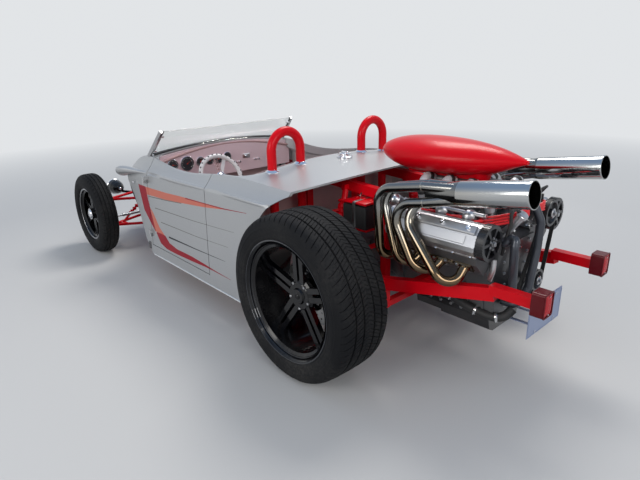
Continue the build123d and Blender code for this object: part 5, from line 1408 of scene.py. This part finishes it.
def make_tail_lamp_trim():
    """Ribbed red lens in a rim on each lamp's rear face."""
    low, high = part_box("tail_lamps")
    z_mid, half_z = (low.z + high.z) / 2, (high.z - low.z) / 2
    rims, lenses, screws = [], [], []
    for side in SIDES:
        middle = Vector((side * (high.x - LAMP_HALF_X), high.y, z_mid))
        rims.append(sweep([middle + Vector((x, 0.0012, z)) for x, z in
                           rounded_loop(LAMP_HALF_X, half_z, 0.010, 0.0085, 5)],
                          0.0034, 10, 1.0, True, REAR))
        rows = []
        for k, v in enumerate(even(-1, 1, 2 * LENS_RIBS + 1)):
            bulge = RIB_HEIGHT if k % 2 else 0.0
            rows.append([middle + Vector((
                u * (LAMP_HALF_X - 0.008),
                0.0004 + 0.0035 * (1 - u ** 4) * (1 - v ** 4) + bulge * (1 - u ** 6) * (1 - v ** 6),
                v * (half_z - 0.008))) for u in even(-1, 1, 9)])
        lenses.append(grid(rows))
        screws += [(middle + Vector((0, 0.0030, way * (half_z - 0.0125))), REAR, 0.6)
                   for way in SIDES]
    add_piece("tail_lamp_rims", "lamp_shell", rims)
    add_piece("tail_lamp_lenses", "lens_red", lenses)
    fasteners("tail_lamp_screws", CAP_SCREW, screws, "chrome")


def make_plate_trim():
    """Rolled edge and four screws of the blank plate."""
    low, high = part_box("number_plate")
    middle = Vector((0, high.y, (low.z + high.z) / 2))
    path = [middle + Vector((x, 0.0002, z))
            for x, z in rounded_loop(*PLATE_HALF, 0.012, 0.0085, 5)]
    add_piece("plate_edge", "plate_white", sweep(path, 0.0016, 8, 1.0, True, REAR))
    x, z = PLATE_HOLES
    fasteners("plate_screws", CAP_SCREW,
              [(middle + mm(side * x, 0, way * z), REAR, 1.1) for side in SIDES for way in SIDES],
              "chrome")


def make_headlamp_trim():
    """Bright rim and clear lens on each headlamp, and its stalk's nut."""
    x, z = HEADLAMP_PLACE
    faces = [Vector((side * x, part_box("headlamps")[0].y, z)) for side in SIDES]
    add_piece("headlamp_rims", "chrome", [
        [lathe([(20, 64.8), (18, 66.8), (4, 67.2), (-2, 65.5), (-3, 62), (0, 59)], face, REAR, 64),
         lathe([(145.5, 0), (146.5, 6), (144, 10), (140, 12)], face, REAR, 20)]
        for face in faces])
    add_piece("headlamp_lenses", "lens_clear", [
        lathe([(-8, 0), (-7.8, 12), (-7, 26), (-5.5, 40), (-3, 52), (0.5, 60)], face, REAR, 48)
        for face in faces])


def make_grille_trim():
    """Bright edges of the grille's bars."""
    low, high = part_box("nose_grille")
    foot = Vector((0, low.y + 0.002, low.z + 0.030))
    bars = []
    for x in even(-GRILLE_HALF_W, GRILLE_HALF_W, GRILLE_BARS):
        top = Vector((x, foot.y, high.z - 0.030 - 0.9 * x * x))
        bars.append(sweep([Vector((x, foot.y, foot.z)), top], 0.0036, 8))
    add_piece("grille_bar_edges", "chrome", bars)


def make_battery_trim():
    """Red lid, terminals with their cables, and the strap over the battery."""
    low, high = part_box("battery")
    x, y, top = (low.x + high.x) / 2, (low.y + high.y) / 2, high.z
    caps = [lathe([(-1, 0), (-1, 11.5), (3.5, 11.5), (4.5, 10), (4.5, 0)],
                  Vector((x, place, top + 0.006)), UP, 20)
            for place in even(low.y + 0.030, high.y - 0.030, 3)]
    add_piece("battery_lid", "frame_red",
              block(Vector((low.x, low.y, top)) + mm(3, 3, -6), high + mm(-3, -3, 6), 0.003), caps)
    posts, wires = [], []
    for place in (low.y + 0.024, high.y - 0.024):
        post = Vector((low.x + 0.028, place, top + 0.005))
        posts += [lathe([(0, 0), (0, 10), (10, 9), (11, 0)], post, UP, 18),
                  block(post + mm(-12, -10, 1), post + mm(20, 10, 10), 0.002)]
        wires.append(sweep(smooth_path([post + mm(*offset) for offset in (
            (14, 0, 6), (-30, 0, 28), (-58, 10, -6), (-60, 30, -80), (-48, 40, -135))]),
            0.0052, 12))
    add_piece("battery_posts", "band_steel", posts)
    add_piece("battery_cables", "rubber", wires)
    path = [Vector((low.x - 0.001, y, low.z + 0.004)), Vector((low.x - 0.0015, y, top + 0.004)),
            Vector((low.x + 0.006, y, top + 0.0075)), Vector((high.x - 0.006, y, top + 0.0075)),
            Vector((high.x + 0.0015, y, top + 0.004)), Vector((high.x + 0.001, y, low.z + 0.004))]
    add_piece("battery_strap", "steel", sweep(path, 0.010, 4, 0.12, level=REAR))


def make_bolts():
    """Bridge bolts of the rear calipers, and the bolts through the wishbones' posts."""
    low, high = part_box("rear_calipers")
    middle_z = (low.z + high.z) / 2
    inset, rise = CALIPER_BOLTS
    rows = [(Vector((side * (high.x - 0.001), y, middle_z + way * rise)), (side, 0, 0), 1.4)
            for side in SIDES for way in SIDES for y in (low.y + inset, high.y - inset)]
    fasteners("rear_caliper_bolts", CAP_SCREW, rows, "steel")
    rows = [(at(side * x, y + 15 * way, z), REAR * way, 1.6) for side in SIDES
            for x, y in FRONT_POSTS for z in FRONT_POST_HEIGHTS for way in (-1, 1)]
    fasteners("front_post_bolts", HEX_BOLT, rows, "steel")


# Stage, light and camera
BACKDROP = (0.76, 0.78, 0.80, 1)
OVERHEAD = (0.30, 0.42, 0.62, 1)
FLOOR_HALF = 40.0
FLOOR_GREY = (0.52, 0.52, 0.52, 1)
FLOOR_FADES = (3.4, 8.5)
SKY_LIGHT = (0.66, 0.78, 0.96, 1)
# Lamps: name, place, aim, size, watts, colour
LAMPS = [("key", (-3.0, -1.0, 6.5), (0, 0, 0.3), (3.0, 3.0), 330, (1.0, 0.96, 0.90)),
         ("fill", (6.0, 0.5, 3.0), (0, -0.4, 0.5), (4.0, 2.5), 150, (1.0, 0.97, 0.92)),
         ("rear", (1.5, 6.5, 3.6), (0, 0.8, 0.5), (4.0, 2.0), 140, (1.0, 0.97, 0.93))]


def backdrop_rays(tree):
    """1 for what the camera, a reflection or a pane sees, 0 for what lights the car."""
    rays = tree.nodes.new("ShaderNodeLightPath").outputs
    seen = calc(tree, "MAXIMUM", rays["Is Camera Ray"], rays["Is Glossy Ray"])
    return calc(tree, "MAXIMUM", seen, rays["Is Transmission Ray"])


def mix_shaders(tree, share, first, second, output):
    """Send a mix of two shaders to the tree's output node."""
    both = add_node(tree, "ShaderNodeMixShader",
                    {0: share, 1: first.outputs[0], 2: second.outputs[0]})
    tree.links.new(both.outputs[0], tree.nodes[output].inputs[0])


def make_stage():
    mesh = bpy.data.meshes.new("floor")
    mesh.from_pydata([(x * FLOOR_HALF, y * FLOOR_HALF, 0)
                      for x, y in ((-1, -1), (1, -1), (1, 1), (-1, 1))], [], [(0, 1, 2, 3)])
    floor = new_object("floor", mesh)
    material = bpy.data.materials.new("pale_floor")
    material.use_nodes = True
    tree = material.node_tree
    surface = tree.nodes["Principled BSDF"]
    surface.inputs["Base Color"].default_value = FLOOR_GREY
    surface.inputs["Roughness"].default_value = 0.9
    # Away from the car the floor fades into the backdrop, for what sees it
    away = add_node(tree, "ShaderNodeVectorMath", {0: object_place(tree)},
                    operation="LENGTH").outputs[1]
    shown = add_node(tree, "ShaderNodeEmission", {0: BACKDROP, 1: 1.0})
    share = calc(tree, "MULTIPLY", ramp(tree, away, *FLOOR_FADES), backdrop_rays(tree))
    mix_shaders(tree, share, surface, shown, "Material Output")
    mesh.materials.append(material)


def make_world():
    world = bpy.data.worlds.new("studio")
    bpy.context.scene.world = world
    world.use_nodes = True
    tree = world.node_tree
    light = tree.nodes["Background"]
    light.inputs[0].default_value = SKY_LIGHT
    light.inputs[1].default_value = 0.50
    way = tree.nodes.new("ShaderNodeTexCoord").outputs["Generated"]
    sky = mix_colour(tree, ramp(tree, split(tree, way)[2], 0.22, 0.75), BACKDROP, OVERHEAD)
    shown = add_node(tree, "ShaderNodeBackground", {0: sky, 1: 1.0})
    mix_shaders(tree, backdrop_rays(tree), light, shown, "World Output")


def make_lamp(name, place, aim, size, watts, colour):
    data = bpy.data.lights.new(name, "AREA")
    data.shape = "RECTANGLE"
    data.size, data.size_y = size
    data.energy, data.color = watts, colour
    lamp = new_object(name, data)
    lamp.location = place
    lamp.rotation_euler = (Vector(aim) - Vector(place)).to_track_quat("-Z", "Y").to_euler()


def make_camera():
    data = bpy.data.cameras.new("photo_camera")
    data.sensor_width = SENSOR_W_MM
    data.lens = PHOTO_FOCAL_PX / PHOTO_W * SENSOR_W_MM
    data.clip_end = 200.0
    camera = new_object("photo_camera", data)
    turn = Matrix((CAMERA_RIGHT, -CAMERA_DOWN, -CAMERA_FORWARD)).transposed()
    camera.matrix_world = Matrix.Translation(CAMERA_PLACE) @ turn.to_4x4()
    bpy.context.scene.camera = camera


for make in (make_tyres, make_wheel_hardware, make_sill_beads, make_windshield_trim,
             make_hoop_collars, make_fuel_cap_trim, make_side_fittings, make_cam_cover_trim,
             make_rear_fittings, make_head_trim, make_header_trim, make_pipes, make_injection,
             make_wires, make_pulley_trim, make_block_trim, make_gauges, make_dash_trim,
             make_steering_wheel_trim, make_controls, make_seats, make_tail_lamp_trim,
             make_plate_trim, make_headlamp_trim, make_grille_trim, make_battery_trim, make_bolts,
             dress_cad_nodes, make_stage, make_world, make_camera):
    make()
for lamp_row in LAMPS:
    make_lamp(*lamp_row)
bpy.context.scene.view_settings.view_transform = "Standard"
